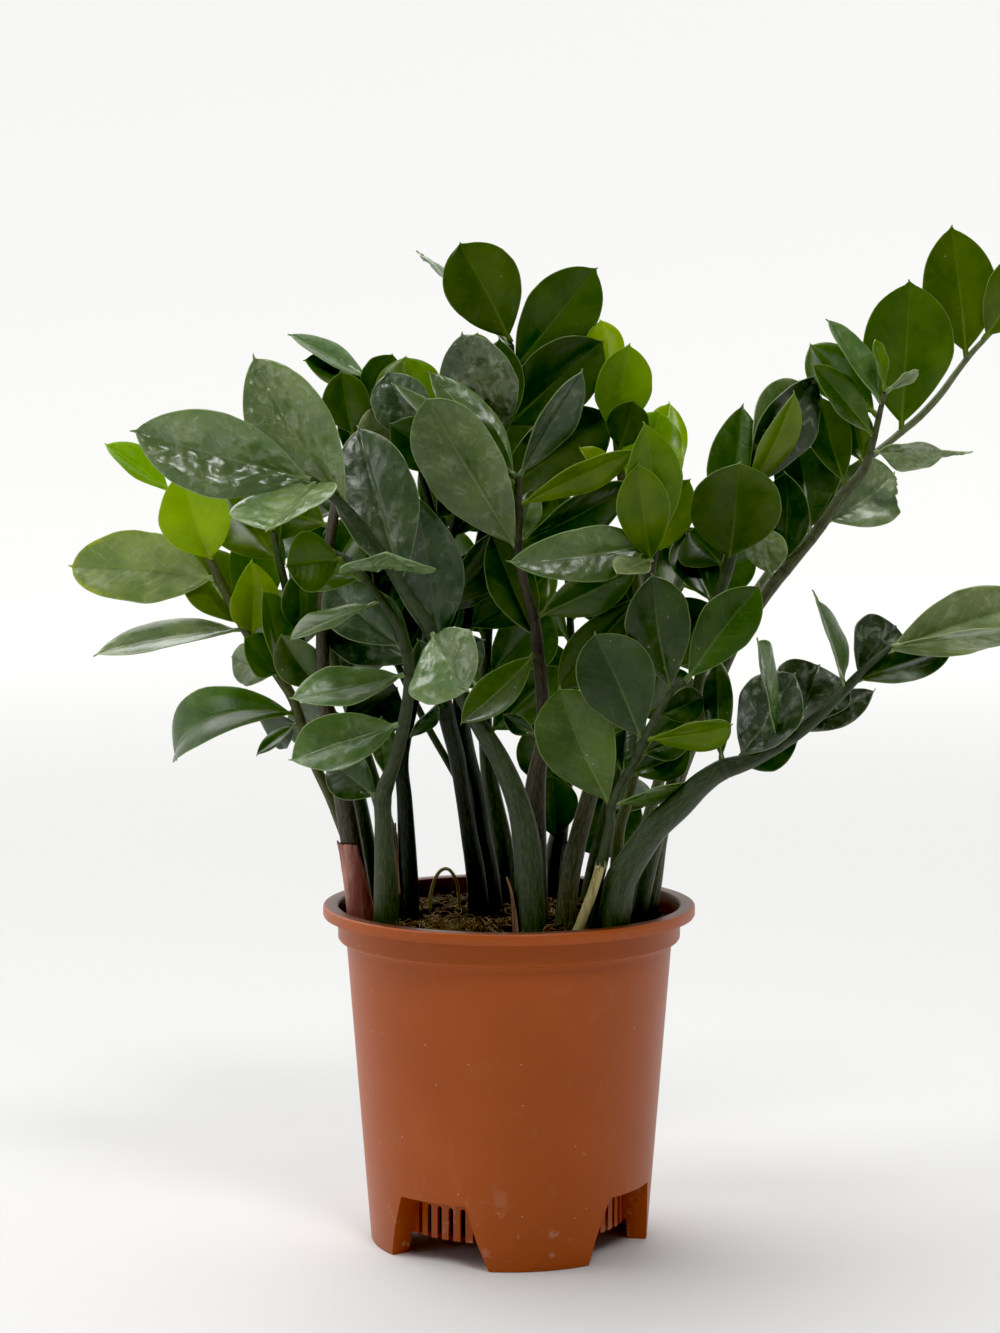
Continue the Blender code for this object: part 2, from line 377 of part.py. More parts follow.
def build_pot():
    """Wall, band and rim in one, standing on four hollow feet with a slotted alcove between each two."""
    band_inner = BAND_RADIUS - WALL
    profile = (
        (0, 0), (40, 0), (FOOT_RADIUS, 0), (wall_radius(60), 60), (SHOULDER_RADIUS, BAND_BOTTOM),
        (BAND_RADIUS - 0.8, BAND_BOTTOM + 0.3), (BAND_RADIUS, BAND_BOTTOM + 1.4), (BAND_RADIUS, BAND_TOP),
        (RIM_RADIUS - 0.6, BAND_TOP), (RIM_RADIUS, BAND_TOP + 0.8), (RIM_RADIUS, POT_HEIGHT - 1.5),
        (RIM_RADIUS - 1.2, POT_HEIGHT), (RIM_INNER + 0.6, POT_HEIGHT), (RIM_INNER, POT_HEIGHT - 0.8),
        (band_inner, BAND_TOP - 1.5), (band_inner, BAND_BOTTOM + 2.0),
        (SHOULDER_RADIUS - WALL, BAND_BOTTOM - 1.5), (wall_radius(60) - WALL, 60),
        (wall_radius(FLOOR + WALL) - WALL, FLOOR + WALL), (40, FLOOR + WALL), (0, FLOOR + WALL),
    )
    pot = add_object("pot", *revolve(profile, POT_SIDES), "terracotta", 0.42)
    recess = ((0, -1), (FOOT_INNER, -1), (FOOT_INNER, FLOOR), (0, FLOOR))
    liners, cut = [], [add_object("recess", *revolve(recess, POT_SIDES))]
    side = degrees_of(WALL, ALCOVE_RADIUS)
    over, pocket_top = ALCOVE_TOP + WALL, FLOOR + 5
    for k in range(4):
        foot = FIRST_FOOT + 90 * k
        gap = foot + 45
        liners.append(add_object("liner", *wedge(
            gap, half_width(FLOOR) + side, half_width(over) + side, ALCOVE_RADIUS - WALL,
            wall_radius(FLOOR) - 0.8, wall_radius(over) - 0.8, FLOOR + 0.2, over)))
        cut.append(add_object("alcove", *wedge(
            gap, half_width(-2), half_width(ALCOVE_TOP), ALCOVE_RADIUS, 75, 75, -2, ALCOVE_TOP)))
        cut.append(add_object("pocket", *wedge(
            foot, 45 - ALCOVE_HALF_BOTTOM - side, 45 - half_width(pocket_top) - side, FOOT_INNER + WALL,
            FOOT_RADIUS - WALL, wall_radius(pocket_top) - WALL - 0.3, WALL, pocket_top)))
        for slot in range(SLOTS):
            cut.append(slot_cutter(math.radians(gap)
                                   + (slot - (SLOTS - 1) / 2) * SLOT_PITCH / ALCOVE_RADIUS))
    combine(pot, liners, "UNION", "liners")
    combine(pot, cut, "DIFFERENCE", "cut")


def slot_cutter(angle):
    """A tall narrow block with a pointed top, standing across the alcove's back wall."""
    w, top = SLOT_WIDTH / 2, SLOT_TOP
    outline = ((-w, FLOOR - 3), (w, FLOOR - 3), (w, top - w), (0, top), (-w, top - w))
    out = Vector((math.sin(angle), -math.cos(angle), 0))
    side = Vector((math.cos(angle), math.sin(angle), 0))
    rings = [[out * radius + side * s + Vector((0, 0, z)) for s, z in outline]
             for radius in (ALCOVE_RADIUS - 4.5, ALCOVE_RADIUS + 2.5)]
    return add_object("slot", *loft(rings))


def curve(points, place):
    """Catmull-Rom through the points; place is an index that may fall between two of them."""
    last = len(points) - 1
    place = min(max(place, 0.0), float(last))
    i = min(int(place), last - 1)
    t = place - i
    p = [np.array(points[min(max(i + k, 0), last)], float) for k in (-1, 0, 1, 2)]
    return 0.5 * (2 * p[1] + (p[2] - p[0]) * t + (2 * p[0] - 5 * p[1] + 4 * p[2] - p[3]) * t * t
                  + (3 * p[1] - p[0] - 3 * p[2] + p[3]) * t**3)


def stem(spine, sides=STEM_SIDES, grow=0.0):
    """A stalk along its spine."""
    rows = [np.array(row, float) for row in spine]
    across = Vector((1, 0, 0))
    rings = []
    for k, row in enumerate(rows):
        ahead = Vector(rows[min(k + 1, len(rows) - 1)][:3]) - Vector(rows[max(k - 1, 0)][:3])
        ahead.normalize()
        across = (across - ahead * across.dot(ahead)).normalized()
        other = ahead.cross(across)
        centre = Vector(row[:3])
        radius = max(row[3], 0.6) + grow
        rings.append([centre + (across * math.cos(a) + other * math.sin(a)) * radius
                      for a in (2 * math.pi * i / sides for i in range(sides))])
    return loft(rings)


def leaflet(spine, row, grow=0.0):
    """Points and faces of one leaflet, from inside its stalk to its tip."""
    place, heading, lean, roll, length, width, droop = row
    here = curve(spine, place)
    root, radius = Vector(here[:3]), here[3]
    h, t = math.radians(heading), math.radians(lean)
    along = Vector((math.cos(h) * math.cos(t), -math.sin(t), math.sin(h) * math.cos(t)))
    facing = Vector((-math.cos(h) * math.sin(t), -math.cos(t), -math.sin(h) * math.sin(t)))
    facing = Matrix.Rotation(math.radians(roll), 3, along) @ facing
    side = along.cross(facing)
    start = radius + 1.5
    stations = [(0.0, STALK_HALF, 0.9, 0.0), (start, STALK_HALF, 0.9, 0.0)]
    stations += [(start + (length - start) * s, width / 2 * w, LEAF_THICK / 2, s) for s, w in BLADE]
    rings, centre, gone = [], root.copy(), 0.0
    for distance, half, thick, share in stations:
        angle = math.radians(droop) * share
        ahead = along * math.cos(angle) - facing * math.sin(angle)
        up = facing * math.cos(angle) + along * math.sin(angle)
        centre = centre + ahead * (distance - gone)
        gone = distance
        lift = up * (math.sin(math.radians(LEAF_FOLD)) * half if share else 0.0)
        half += grow
        thick += grow
        rings.append([centre + side * half + lift, centre + up * thick, centre - side * half + lift,
                      centre - up * thick])
    angle = math.radians(droop)
    tip = centre + (along * math.cos(angle) - facing * math.sin(angle)) * (length + grow - gone)
    points, faces = loft(rings, last_cap=False)
    base = len(points) - 4
    points.append(tip)
    faces += [(base + i, base + (i + 1) % 4, base + 4) for i in range(4)]
    return points, faces


def tree_of(shape):
    return BVHTree.FromPolygons([Vector(p) for p in shape[0]], shape[1])


def outer_part(shape):
    """The leaflet without its stalk, so that leaflets of one frond may meet at a joint."""
    points, faces = shape
    return points, [face for face in faces if min(face) >= 8]


def settle():
    """Turns each leaflet by as little as keeps it clear of the others. Returns rows by frond."""
    stems = [tree_of(stem(spine)) for _, _, spine, _ in FRONDS]
    placed, settled = [], []
    for index, (name, _, spine, rows) in enumerate(FRONDS):
        kept = []
        for row in rows:
            kept.append(fit(index, spine, row, stems, placed))
            shape = leaflet(spine, kept[-1])
            placed.append((index, tree_of(shape), tree_of(outer_part(shape))))
        settled.append(kept)
    return settled


def fit(index, spine, row, stems, placed):
    place, heading, lean, roll, length, width, droop = row
    turns = sorted((abs(a) + abs(b) * 0.5 + abs(c) * 1.6, a, b, c)
                   for a in LEANS for b in ROLLS for c in TURNS)
    for size in SIZES:
        for _, a, b, c in turns:
            tried = (place, heading + c, lean + a, roll + b, length * size, width * size, droop)
            shape = leaflet(spine, tried, CLEARANCE)
            whole, outer = tree_of(shape), tree_of(outer_part(shape))
            if any(outer.overlap(tree) if i == index else whole.overlap(tree)
                   for i, tree in enumerate(stems)):
                continue
            if any(outer.overlap(blade) if i == index else whole.overlap(tree)
                   for i, tree, blade in placed):
                continue
            return tried
    print("no free place for the leaflet at", place, "of", FRONDS[index][0])
    return row


def clasp(frond, low, high, middle, half_low, half_high, flare, rows=5, steps=10):
    """A thin curved strip that follows a stalk and lies just clear of it."""
    spine = next(row[2] for row in FRONDS if row[0] == frond)
    rings = []
    for k in range(rows):
        share = k / (rows - 1)
        x, y, z, radius = curve(spine, low + (high - low) * share)
        inner = radius + 2 * GAP + flare * share * share
        half = half_low + (half_high - half_low) * share
        ring = []
        for distance, order in ((inner + SHEATH_THICK, range(steps + 1)), (inner, range(steps, -1, -1))):
            for i in order:
                a = math.radians(middle - half + 2 * half * i / steps)
                ring.append((x + distance * math.cos(a), y + distance * math.sin(a), z))
        rings.append(ring)
    return loft(rings)


def tuft(row, rng_seed, grow=0.0, sides=14, rows=4):
    """A low lumpy mound that sits in the soil."""
    _, x, y, long_half, short_half, height = row
    rng = random.Random(rng_seed)
    rings = []
    for k in range(rows + 1):
        share = k / rows
        z = SOIL_TOP - TUFT_BED + (height + TUFT_BED) * share * 0.96
        wide = math.sqrt(max(0.06, 1 - share * share))
        ring = []
        for i in range(sides):
            a = 2 * math.pi * i / sides
            lump = 1 + rng.uniform(-0.10, 0.10)
            ring.append((x + (long_half * wide * lump + grow) * math.cos(a),
                         y + (short_half * wide * lump + grow) * math.sin(a),
                         z - (grow if k == 0 else 0)))
        rings.append(ring)
    return split_quads(*loft(rings))


def build_fronds():
    for (name, colour, spine, _), rows in zip(FRONDS, settle()):
        frond = add_object(name, *stem(spine), colour, 0.38)
        combine(frond, [add_object("leaflet", *leaflet(spine, row)) for row in rows], "UNION", "leaflets")


def build_soil():
    """Compost in two solids: a plain one below, and the uneven layer that the stalks stand in."""
    inner, low = BAND_RADIUS - WALL - GAP, LAYER_BOTTOM - GAP
    profile = [(0, FLOOR + WALL + GAP), (wall_radius(FLOOR + WALL) - WALL - GAP, FLOOR + WALL + GAP),
               (wall_radius(60) - WALL - GAP, 60), (wall_radius(low) - WALL - GAP, low), (0, low)]
    base = add_object("soil_below", *revolve(profile, SOIL_SIDES), "soil", 0.95)
    cut, grown = [], []
    for k in range(4):
        foot, gap = FIRST_FOOT + 90 * k, FIRST_FOOT + 45 + 90 * k
        side, over = degrees_of(WALL + 2 * GAP, ALCOVE_RADIUS), ALCOVE_TOP + WALL + GAP
        cut.append(add_object("liner", *wedge(
            gap, half_width(FLOOR) + side, half_width(over) + side, ALCOVE_RADIUS - WALL - 2 * GAP,
            wall_radius(FLOOR) + 1, wall_radius(over) + 1, FLOOR, over)))
        high, half = FLOOR + WALL + 2, 45 - ALCOVE_HALF_BOTTOM - side - 1
        grown.append(add_object("plug", *wedge(
            foot, half, half, FOOT_INNER + WALL + 2 * GAP, FOOT_RADIUS - WALL - 2 * GAP,
            wall_radius(high) - WALL - 3 * GAP, WALL + GAP, high)))
    combine(base, grown, "UNION", "plugs")
    combine(base, cut, "DIFFERENCE", "alcoves")

    rng = random.Random(SEED)
    profile = [(0, LAYER_BOTTOM), (wall_radius(LAYER_BOTTOM) - WALL - GAP, LAYER_BOTTOM),
               (SHOULDER_RADIUS - WALL - GAP, BAND_BOTTOM - 1.6), (inner, BAND_BOTTOM + 2.2),
               (inner, SOIL_TOP - 1.0),
               (60, SOIL_TOP), (40, SOIL_TOP), (20, SOIL_TOP), (0, SOIL_TOP)]
    points, faces = revolve(profile, SOIL_SIDES)
    points = [(x, y, z + rng.uniform(-1, 1) * SOIL_ROUGHNESS if z == SOIL_TOP else z) for x, y, z in points]
    layer = add_object("soil", points, faces, "soil", 0.95)
    sockets = [add_object("socket", *stem(row[2], grow=GAP)) for row in FRONDS + TWIGS]
    sockets += [add_object("socket", *tuft(row, k, GAP)) for k, row in enumerate(TUFTS)]
    combine(layer, sockets, "DIFFERENCE", "sockets")


def build_small_pieces():
    for name, colour, *where in SHEATHS:
        add_object(name, *clasp(*where), colour, 0.6)
    for name, colour, spine in TWIGS:
        add_object(name, *stem(spine), colour, 0.7)
    for k, row in enumerate(TUFTS):
        add_object(row[0], *tuft(row, k), "moss", 0.9)


def main():
    clear_scene()
    random.seed(SEED)
    build_pot()
    build_soil()
    build_fronds()
    build_small_pieces()


main()
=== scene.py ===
"""The looks of the potted cardboard palm (a ZZ plant in a 17 cm plastic nursery pot).

The tables and the settling of the leaflets repeat the CAD source, so that each fine surface lies where its
solid is. They are in millimetres, +Z up, -Y the front; metre() moves a point to the row frame.
"""

import math
import random

import bmesh
import bpy
import numpy as np
from mathutils import Matrix, Vector, noise
from mathutils.bvhtree import BVHTree


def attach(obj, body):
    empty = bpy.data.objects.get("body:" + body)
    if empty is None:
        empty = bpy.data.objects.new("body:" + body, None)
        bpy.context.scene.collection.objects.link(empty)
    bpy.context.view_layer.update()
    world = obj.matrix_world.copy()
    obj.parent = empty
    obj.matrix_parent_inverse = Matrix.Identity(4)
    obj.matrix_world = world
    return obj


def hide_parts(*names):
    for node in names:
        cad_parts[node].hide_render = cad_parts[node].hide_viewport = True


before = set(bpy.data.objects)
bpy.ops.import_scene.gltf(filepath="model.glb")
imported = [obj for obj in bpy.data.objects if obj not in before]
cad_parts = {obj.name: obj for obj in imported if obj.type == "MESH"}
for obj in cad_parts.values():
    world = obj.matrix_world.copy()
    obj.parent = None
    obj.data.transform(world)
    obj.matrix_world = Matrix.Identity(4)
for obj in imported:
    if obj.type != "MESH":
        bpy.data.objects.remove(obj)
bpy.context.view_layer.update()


MM = 0.001
SEED = 20
TURN = 2 * math.pi
GAP = 0.3  # between two pieces that touch
ORIGIN_SHIFT = (-35.2, -6.5, 0.0)  # puts the origin under the middle of the whole plant

# ---------------------------------------------------------------- pot
POT_HEIGHT = 155.0
WALL = 1.6
FOOT_RADIUS = 63.6  # outside, at the ground
SHOULDER_RADIUS = 74.5  # outside, where the wall meets the band
BAND_BOTTOM, BAND_TOP, BAND_RADIUS = 139.0, 149.6, 78.2
RIM_RADIUS, RIM_INNER = 85.0, 78.0
RIM_ROUND = 1.1  # radius of the rim's edges
FLOOR = 10.0
ALCOVE_TOP = 29.5
ALCOVE_RADIUS = 54.0  # the set-back wall between two feet
FOOT_INNER = 54.8  # inner side of a foot
ALCOVE_HALF_BOTTOM, ALCOVE_HALF_TOP = 24.0, 15.0  # degrees either side of its middle
FEET, FOOT_PITCH, FIRST_FOOT = 4, 90.0, 13.0  # FIRST_FOOT is degrees from the front towards +X
POCKET_DEPTH = 5.0  # of the hollow in a foot, above the pot's floor
BELOW, OUTSIDE = -2.0, 75.0  # height and radius where the alcoves' cutters end, clear of the pot
SLOTS, SLOT_PITCH, SLOT_WIDTH, SLOT_TOP = 6, 6.0, 2.4, 24.8
POT_SIDES = 192
ARC_STEPS = 16  # across an alcove or a foot
SHARP_EDGE = 32  # degrees between faces that are shaded apart
SOFT_EDGE, SOFT_WIDTH = 40, 0.35  # degrees between faces whose edge is rounded, and how wide

# ---------------------------------------------------------------- soil
SOIL_TOP = 145.0
SOIL_RINGS, SOIL_SIDES = 64, 200
CLODS, ROOTS = 420, 190
ROOT_STEPS, ROOT_STEP = 9, 2.4
ROOT_START, ROOT_LIMIT = 62, 73  # how far from the pot's axis a root may start and go
HEAP, HEAP_HALF, HEAP_HEIGHT = (-12, -40), (26, 24), 5.5  # where the roots pile up: middle, reach

# ---------------------------------------------------------------- stalks and leaflets
STEM_SIDES = 6
LEAST_RADIUS = 0.6  # of a stalk
LEAF_THICK = 1.1  # at the midrib, thinning to the margin
LEAF_FOLD = 9.0  # degrees that each half lifts
STALK_HALF, STALK_FLAT = 1.3, 0.9  # half the width and half the thickness of a leaflet's own stalk
STALK_REACH = 1.5  # how far that stalk stands out of the frond's
BLADE = ((0.12, 0.50), (0.35, 0.93), (0.62, 0.98), (0.85, 0.64))  # share of length, share of width
CLEARANCE = 0.7  # kept free around a leaflet

# A frond is (name, colour, spine, leaflets).
# spine: x, y, z, radius. It is a smooth curve through these points.
# leaflet: place on the spine (2.5 is halfway from point 2 to 3), heading in the front view
# (0 right, 90 up), degrees leaning towards the front, roll of the blade about its midrib
# (0 faces the front), length, width, and where it isn't 0 the droop in degrees from stalk to tip.
FRONDS = (
    ("frond_top_left", "grey_green",
     ((10, -48, 128, 7.5), (9, -46, 168, 6.5), (7.9, -44, 187, 6.2), (3.9, -42, 206.4, 5.2),
      (-4, -40, 225.3, 4.5), (-15.1, -40, 244, 3.8), (-26.1, -42, 264.2, 3.3), (-35, -46, 284, 3.2),
      (-47, -52, 303, 2.8), (-55, -58, 317, 2.5), (-69, -66, 336, 2.2), (-79, -72, 346, 1.8),
      (-85, -76, 351, 1.2)),
     ((7, 303, 48, 15, 42, 40, 10), (8.6, 90, 78, 0, 50, 42), (7.9, 106, -14, 0, 78, 37),
      (11.6, 231, 58, 52, 50, 50), (11.7, 164, 10, -20, 81, 37), (10, 121, 10, 0, 80, 36))),
    ("frond_front_left", "green",
     ((-55, -30, 128, 6), (-55, -32, 165, 5.5), (-56, -33, 195, 4), (-56, -34, 209, 3.8), (-51, -36, 224, 3),
      (-46, -40, 244, 2.8), (-44, -44, 264, 2.5), (-47.5, -46, 282, 2.2), (-55, -46, 295, 2),
      (-68, -46, 312, 1.6), (-79, -46, 319, 1)),
     ((4.9, 196, 20, 25, 55, 28), (6, 190, 18, 44, 55, 24), (2.75, 148, -30, 0, 34, 22),
      (3.3, 95, -20, 30, 32, 14), (8.1, 202, 25, 74, 47, 22), (8.6, 172, -25, 0, 42, 20),
      (6.55, 140, -22, 0, 52, 26), (9.3, 186, 22, 0, 28, 27))),
    ("frond_front_right", "green",
     ((33, -38, 128, 3.4), (37, -42, 150, 3), (38.5, -44, 168, 2.8), (41.5, -46, 182, 2.6),
      (44.5, -47, 197, 2.2), (45, -48, 205, 2.1), (49, -50, 215, 2), (55, -52, 226, 1.9),
      (58.5, -54, 235, 1.8), (64, -56, 246, 1.6), (72, -58, 259, 1.4), (77, -59, 262, 1)),
     ((8, 114, 14, 0, 56, 34), (5, 114, 5, 0, 59, 36), (9.8, 99, 5, 0, 54, 29), (10.9, 53, 5, 0, 54, 25),
      (8.1, 9, 10, 45, 40, 20), (5.1, 11, 12, 60, 35, 20), (6.4, 20, -20, 0, 34, 18), (9, 20, -25, 0, 26, 16),
      (6.2, 85, -30, 0, 26, 14), (7.3, 15, -30, 0, 26, 14))),
    ("frond_arching_right", "grey_green",
     ((43, -46, 128, 7.5), (48, -50, 168, 7), (52, -50, 178, 6.6), (58, -51, 188, 6.3), (64.5, -52, 197, 6),
      (74.6, -53, 206.6, 5.8), (83.8, -54, 216, 5.2), (93.3, -55, 222.7, 4.4), (105, -56, 226.8, 3.6),
      (117.5, -58, 234.1, 3.2), (131.2, -60, 243.6, 2.6), (144.4, -62, 256.9, 2.2), (153.6, -64, 267.1, 1.9),
      (165.8, -66, 278.2, 1.3)),
     ((7.5, 58, 4, 0, 49, 34), (7, 91, -25, 0, 54, 14), (9, 103, 18, 66, 67, 18), (9.6, 69, -10, 0, 36, 36),
      (7.3, 16, -15, 0, 37, 16), (9.5, 24, -12, 0, 50, 15), (11.2, 110, 12, 60, 48, 21),
      (11.6, 48, -22, 0, 33, 32), (11.5, 20, 4, 0, 48, 24), (12.7, 18, 5, 28, 74, 28),
      (13, 12, 12, 55, 69, 20))),
    ("frond_centre", "brown_green",
     ((13, -12, 128, 5.5), (12.2, -13, 175.1, 5), (11.7, -14, 207.2, 4.8), (15, -16, 232, 3),
      (15, -18, 252, 3), (13, -20, 272, 2.8), (11, -22, 287, 2.5), (7, -25, 302, 2.2), (4, -28, 319, 1.9),
      (4, -31, 336, 1.9), (4, -33, 352, 1.2)),
     ((9.1, 25, 14, 40, 59, 18), (7.9, 121, 16, 0, 83, 36), (9, 133, 1, 62, 82, 30),
      (9.6, 129, -12, 35, 66, 22), (9.8, 137, -25, 0, 44, 20), (8, 75, -15, 0, 28, 12),
      (6, 27, 15, 20, 54, 22), (5, 219, 38, 30, 56, 18), (3, 150, -20, 0, 22, 9), (9.8, 60, 2, 35, 56, 22),
      (8.1, 27, -10, 40, 61, 28), (5.2, 113, -10, 0, 55, 22))),
    ("frond_centre_right", "pale_green",
     ((24, -24, 128, 5.5), (26.5, -26, 164, 4.6), (30, -26, 184, 4.3), (35, -26, 204, 3.9),
      (41, -26, 225, 3.4), (47, -27, 250, 3), (54, -28, 275, 2.5), (60, -30, 298, 2.2), (64, -32, 314, 1.9),
      (66, -32, 335, 1.3)),
     ((8.3, 186, 16, -20, 69, 25), (8, 196, 30, 62, 30, 16), (7.1, 229, -5, 0, 60, 22),
      (7.8, 99, 14, 0, 50, 24), (8.2, 95, 2, 0, 59, 27), (6.2, 130, -10, 0, 44, 24))),
    ("frond_left_bright", "bright_green",
     ((-63, 20, 128, 4.5), (-69, 14, 165, 3.4), (-81, 15, 198, 2.6), (-90, 15, 218, 2.4), (-98, 13, 244, 2.4),
      (-105, 12, 257, 2.4), (-115, 10, 271, 2.4), (-123, 8, 284, 2.3), (-133, 5, 305, 2.2),
      (-142, 3, 325, 1.8), (-152, 0, 342, 1.2)),
     ((10, 143, 5, 48, 38, 20), (8.2, 104, 18, 0, 51, 33), (6.3, 89, 20, 0, 40, 24),
      (6.4, 84, -10, 0, 58, 26), (7.9, 176, -8, 15, 71, 34), (6.7, 126, -15, 0, 47, 32),
      (6.7, 182, 5, 58, 71, 22, 15), (5.1, 165, -50, 0, 38, 20), (5, 125, 10, 70, 32, 20),
      (4.8, 98, 5, 65, 50, 24), (3.8, 168, 12, 38, 88, 30, 92), (3.7, 205, -45, 0, 28, 20),
      (3.7, 218, 5, 60, 26, 11))),
    ("frond_right_upper", "brown_green",
     ((60, -4, 128, 5), (66, -4, 165, 4), (70, -3, 190, 3.6), (78, -2, 215, 3.8), (90, 0, 245, 3.8),
      (103, 0, 275, 3.8), (117, 0, 297, 3.8), (128, -1, 311, 3.7), (140, -2, 326, 3.3), (150, -3, 341, 3.1),
      (160, -4, 353, 2.6), (164, -5, 366, 2), (167, -6, 380, 1.6), (169, -6, 388, 1)),
     ((6.7, 90, 8, 0, 46, 24), (7.7, 96, -25, 0, 49, 28), (8.1, 33, -2, 0, 47, 32), (10.6, 1, 12, 52, 46, 22),
      (12.2, 121, -5, 55, 46, 20), (11.1, 132, 14, 30, 46, 19), (11.7, 132, -24, 0, 49, 24),
      (13, 104, 10, 40, 24, 9), (12.9, 35, 0, 40, 18, 8), (9.2, 105, -10, 0, 45, 20),
      (10, 102, -16, 0, 33, 17), (7.7, 60, -8, 0, 45, 17), (6.2, 97, 8, 0, 27, 20))),
    ("frond_right_round", "green",
     ((54, -22, 128, 4.5), (61, -22, 165, 3.6), (66, -20, 185, 3.2), (73, -16, 210, 2.8), (82, -12, 240, 2.6),
      (86, -10, 258, 2.6), (91, -8, 285, 2.8), (99, -8, 310, 2.6), (104, -10, 335, 2), (110, -8, 355, 1.6),
      (116, -4, 368, 1)),
     ((7, 87, 14, 0, 53, 41), (7.2, 85, -20, 0, 72, 30), (8.2, 65, 22, 52, 57, 24), (8.9, 58, -26, 0, 58, 30),
      (8.4, 58, 8, 0, 61, 29), (6.9, 134, -20, 0, 26, 26), (6.2, 107, -10, 0, 42, 24))),
    ("frond_left_tall", "brown_green",
     ((-64.5, -8, 128, 6.3), (-68.3, -8, 160.1, 5.4), (-72.7, -8, 190.4, 4.8), (-77, -10, 215.3, 4.2),
      (-83, -12, 250, 3.4), (-84, -8, 290, 2.8), (-80, 5, 330, 2.4), (-73, 15, 358, 2), (-67, 24, 381, 1.4),
      (-63, 28, 393, 1)),
     ((9, 155, 0, 60, 44, 20, -10), (8.6, 158, 8, 28, 33, 23), (7.3, 99, 14, 0, 33, 22),
      (8, 60, -10, 20, 28, 20), (6.3, 40, -20, 0, 46, 24), (5.9, 161, -26, 0, 48, 34),
      (5.2, 60, -40, 0, 50, 24))),
    ("frond_left_dark", "dark_green",
     ((-46, -8, 128, 5), (-45.6, -8, 160.1, 4.6), (-47.3, -8, 200.5, 3.6), (-48.5, -8, 222, 3),
      (-44, -6, 246, 2.8), (-38, -2, 272, 2.6), (-33, 2, 300, 2.4), (-34, 6, 328, 2), (-40, 10, 352, 1.6),
      (-44, 12, 372, 1.1)),
     ((8.4, 110, 14, 0, 39, 27), (8.9, 182, 40, 45, 26, 20), (8.9, 97, -24, 0, 35, 31),
      (7, 60, -15, 0, 50, 26), (6.4, 140, -15, 0, 50, 28), (5.5, 45, -15, 0, 48, 26),
      (4.7, 146, -14, 0, 59, 36), (4.4, 35, -10, 0, 40, 24), (3.3, 55, 5, 50, 25, 13))),
    ("frond_centre_grey", "dark_green",
     ((-12, 4, 128, 5.5), (-15, 3, 165, 4.6), (-18, 2, 185, 4), (-21, 1, 203, 3.4), (-23.8, 0, 222.3, 3.8),
      (-28.2, -2, 240.4, 3.8), (-31.3, -4, 262.1, 3), (-31, -6, 290, 2.2), (-27, -6, 320, 2),
      (-19, -6, 345, 1.8), (-10, -6, 357, 1.5), (-3, -6, 366, 1.1)),
     ((11, 111, 12, 0, 53, 35), (5, 108, 10, 0, 46, 20), (6.3, 93, 4, 0, 78, 32), (10.4, 87, -15, 0, 53, 24),
      (9.4, 150, -15, 0, 46, 24), (8, 60, -10, 0, 46, 24), (7, 45, -10, 0, 52, 26),
      (7.4, 140, -10, 0, 46, 24))),
    ("frond_top_centre", "dark_green",
     ((-5, 16, 128, 5), (-9, 15, 165, 4.4), (-12.5, 14, 185, 4), (-15, 12, 205, 3.6), (-19.8, 10, 225.3, 3.8),
      (-22.5, 9, 245.3, 3.4), (-21, 9, 270, 2.6), (-17, 9, 300, 2.4), (-10, 9, 335, 2.2), (-3, 9, 370, 2),
      (1, 9, 395, 1.8), (1, 9, 410, 1.2)),
     ((11, 118, 8, 0, 51, 35), (10.8, 135, -10, 76, 68, 24), (10.1, 51, 0, 0, 61, 34), (9, 42, 6, 0, 62, 34),
      (8.2, 120, -20, 0, 48, 26), (8.1, 35, -10, 0, 70, 34), (7.3, 40, -12, 0, 50, 28),
      (6.3, 35, -8, 0, 48, 26))),
    ("frond_right_mid", "bright_green",
     ((46, 2, 128, 4.2), (49, 2, 165, 3.4), (50.5, 2, 188, 2.6), (56, 2, 208, 2.4), (60, 2, 235, 2.4),
      (61, 2, 265, 2.3), (58, 2, 300, 2.2), (53, 2, 335, 2), (49, 2, 362, 1.8), (47, 2, 385, 1.1)),
     ((8.1, 84, 8, 0, 47, 27), (9, 99, -10, 0, 37, 19), (6.8, 74, -4, 0, 56, 27), (7.9, 76, 22, 0, 28, 20),
      (7.6, 150, 10, 30, 22, 10), (6.3, 57, 4, 0, 46, 24), (5.4, 120, -15, 0, 48, 26),
      (3.4, 42, -5, 0, 40, 24), (4.4, 130, -15, 0, 44, 24), (4.8, 46, -12, 0, 47, 30),
      (6.5, 74, -18, 0, 73, 24))),
    ("frond_left_mid", "green",
     ((-56, 8, 128, 5.2), (-62.6, 8, 162.1, 4.6), (-66.7, 9, 185.2, 4.4), (-69.9, 10, 203.1, 3.8),
      (-74, 10, 222, 3), (-82, 9, 242, 2.6), (-91, 8, 262, 2.3), (-98, 6, 285, 2), (-103, 4, 305, 1.8),
      (-107, 2, 325, 1.2)),
     ((5.4, 121, 22, 0, 40, 22), (6.6, 90, 12, 0, 37, 22), (7.5, 60, -10, 0, 42, 24),
      (8.2, 129, -14, 0, 45, 34), (9, 100, -5, 0, 44, 26), (4.6, 31, -35, 0, 39, 30))),
    ("frond_right_far", "pale_green",
     ((52, 24, 128, 4.2), (60, 24, 170, 3.4), (72, 24, 215, 3), (92, 24, 260, 2.8), (120, 24, 305, 2.6),
      (150.4, 24, 343.6, 2.4), (176.9, 24, 366.6, 2.3), (187.8, 24, 375.7, 2.4), (197.7, 24, 386.3, 2.3),
      (206.3, 24, 398.1, 2), (214, 24, 407.7, 1.8), (230, 24, 424, 1.1)),
     ((6.2, 88, 6, 0, 70, 42), (9.5, 97, -4, 0, 62, 35), (10.2, 60, 0, 0, 52, 28), (11, 45, 5, 0, 54, 28),
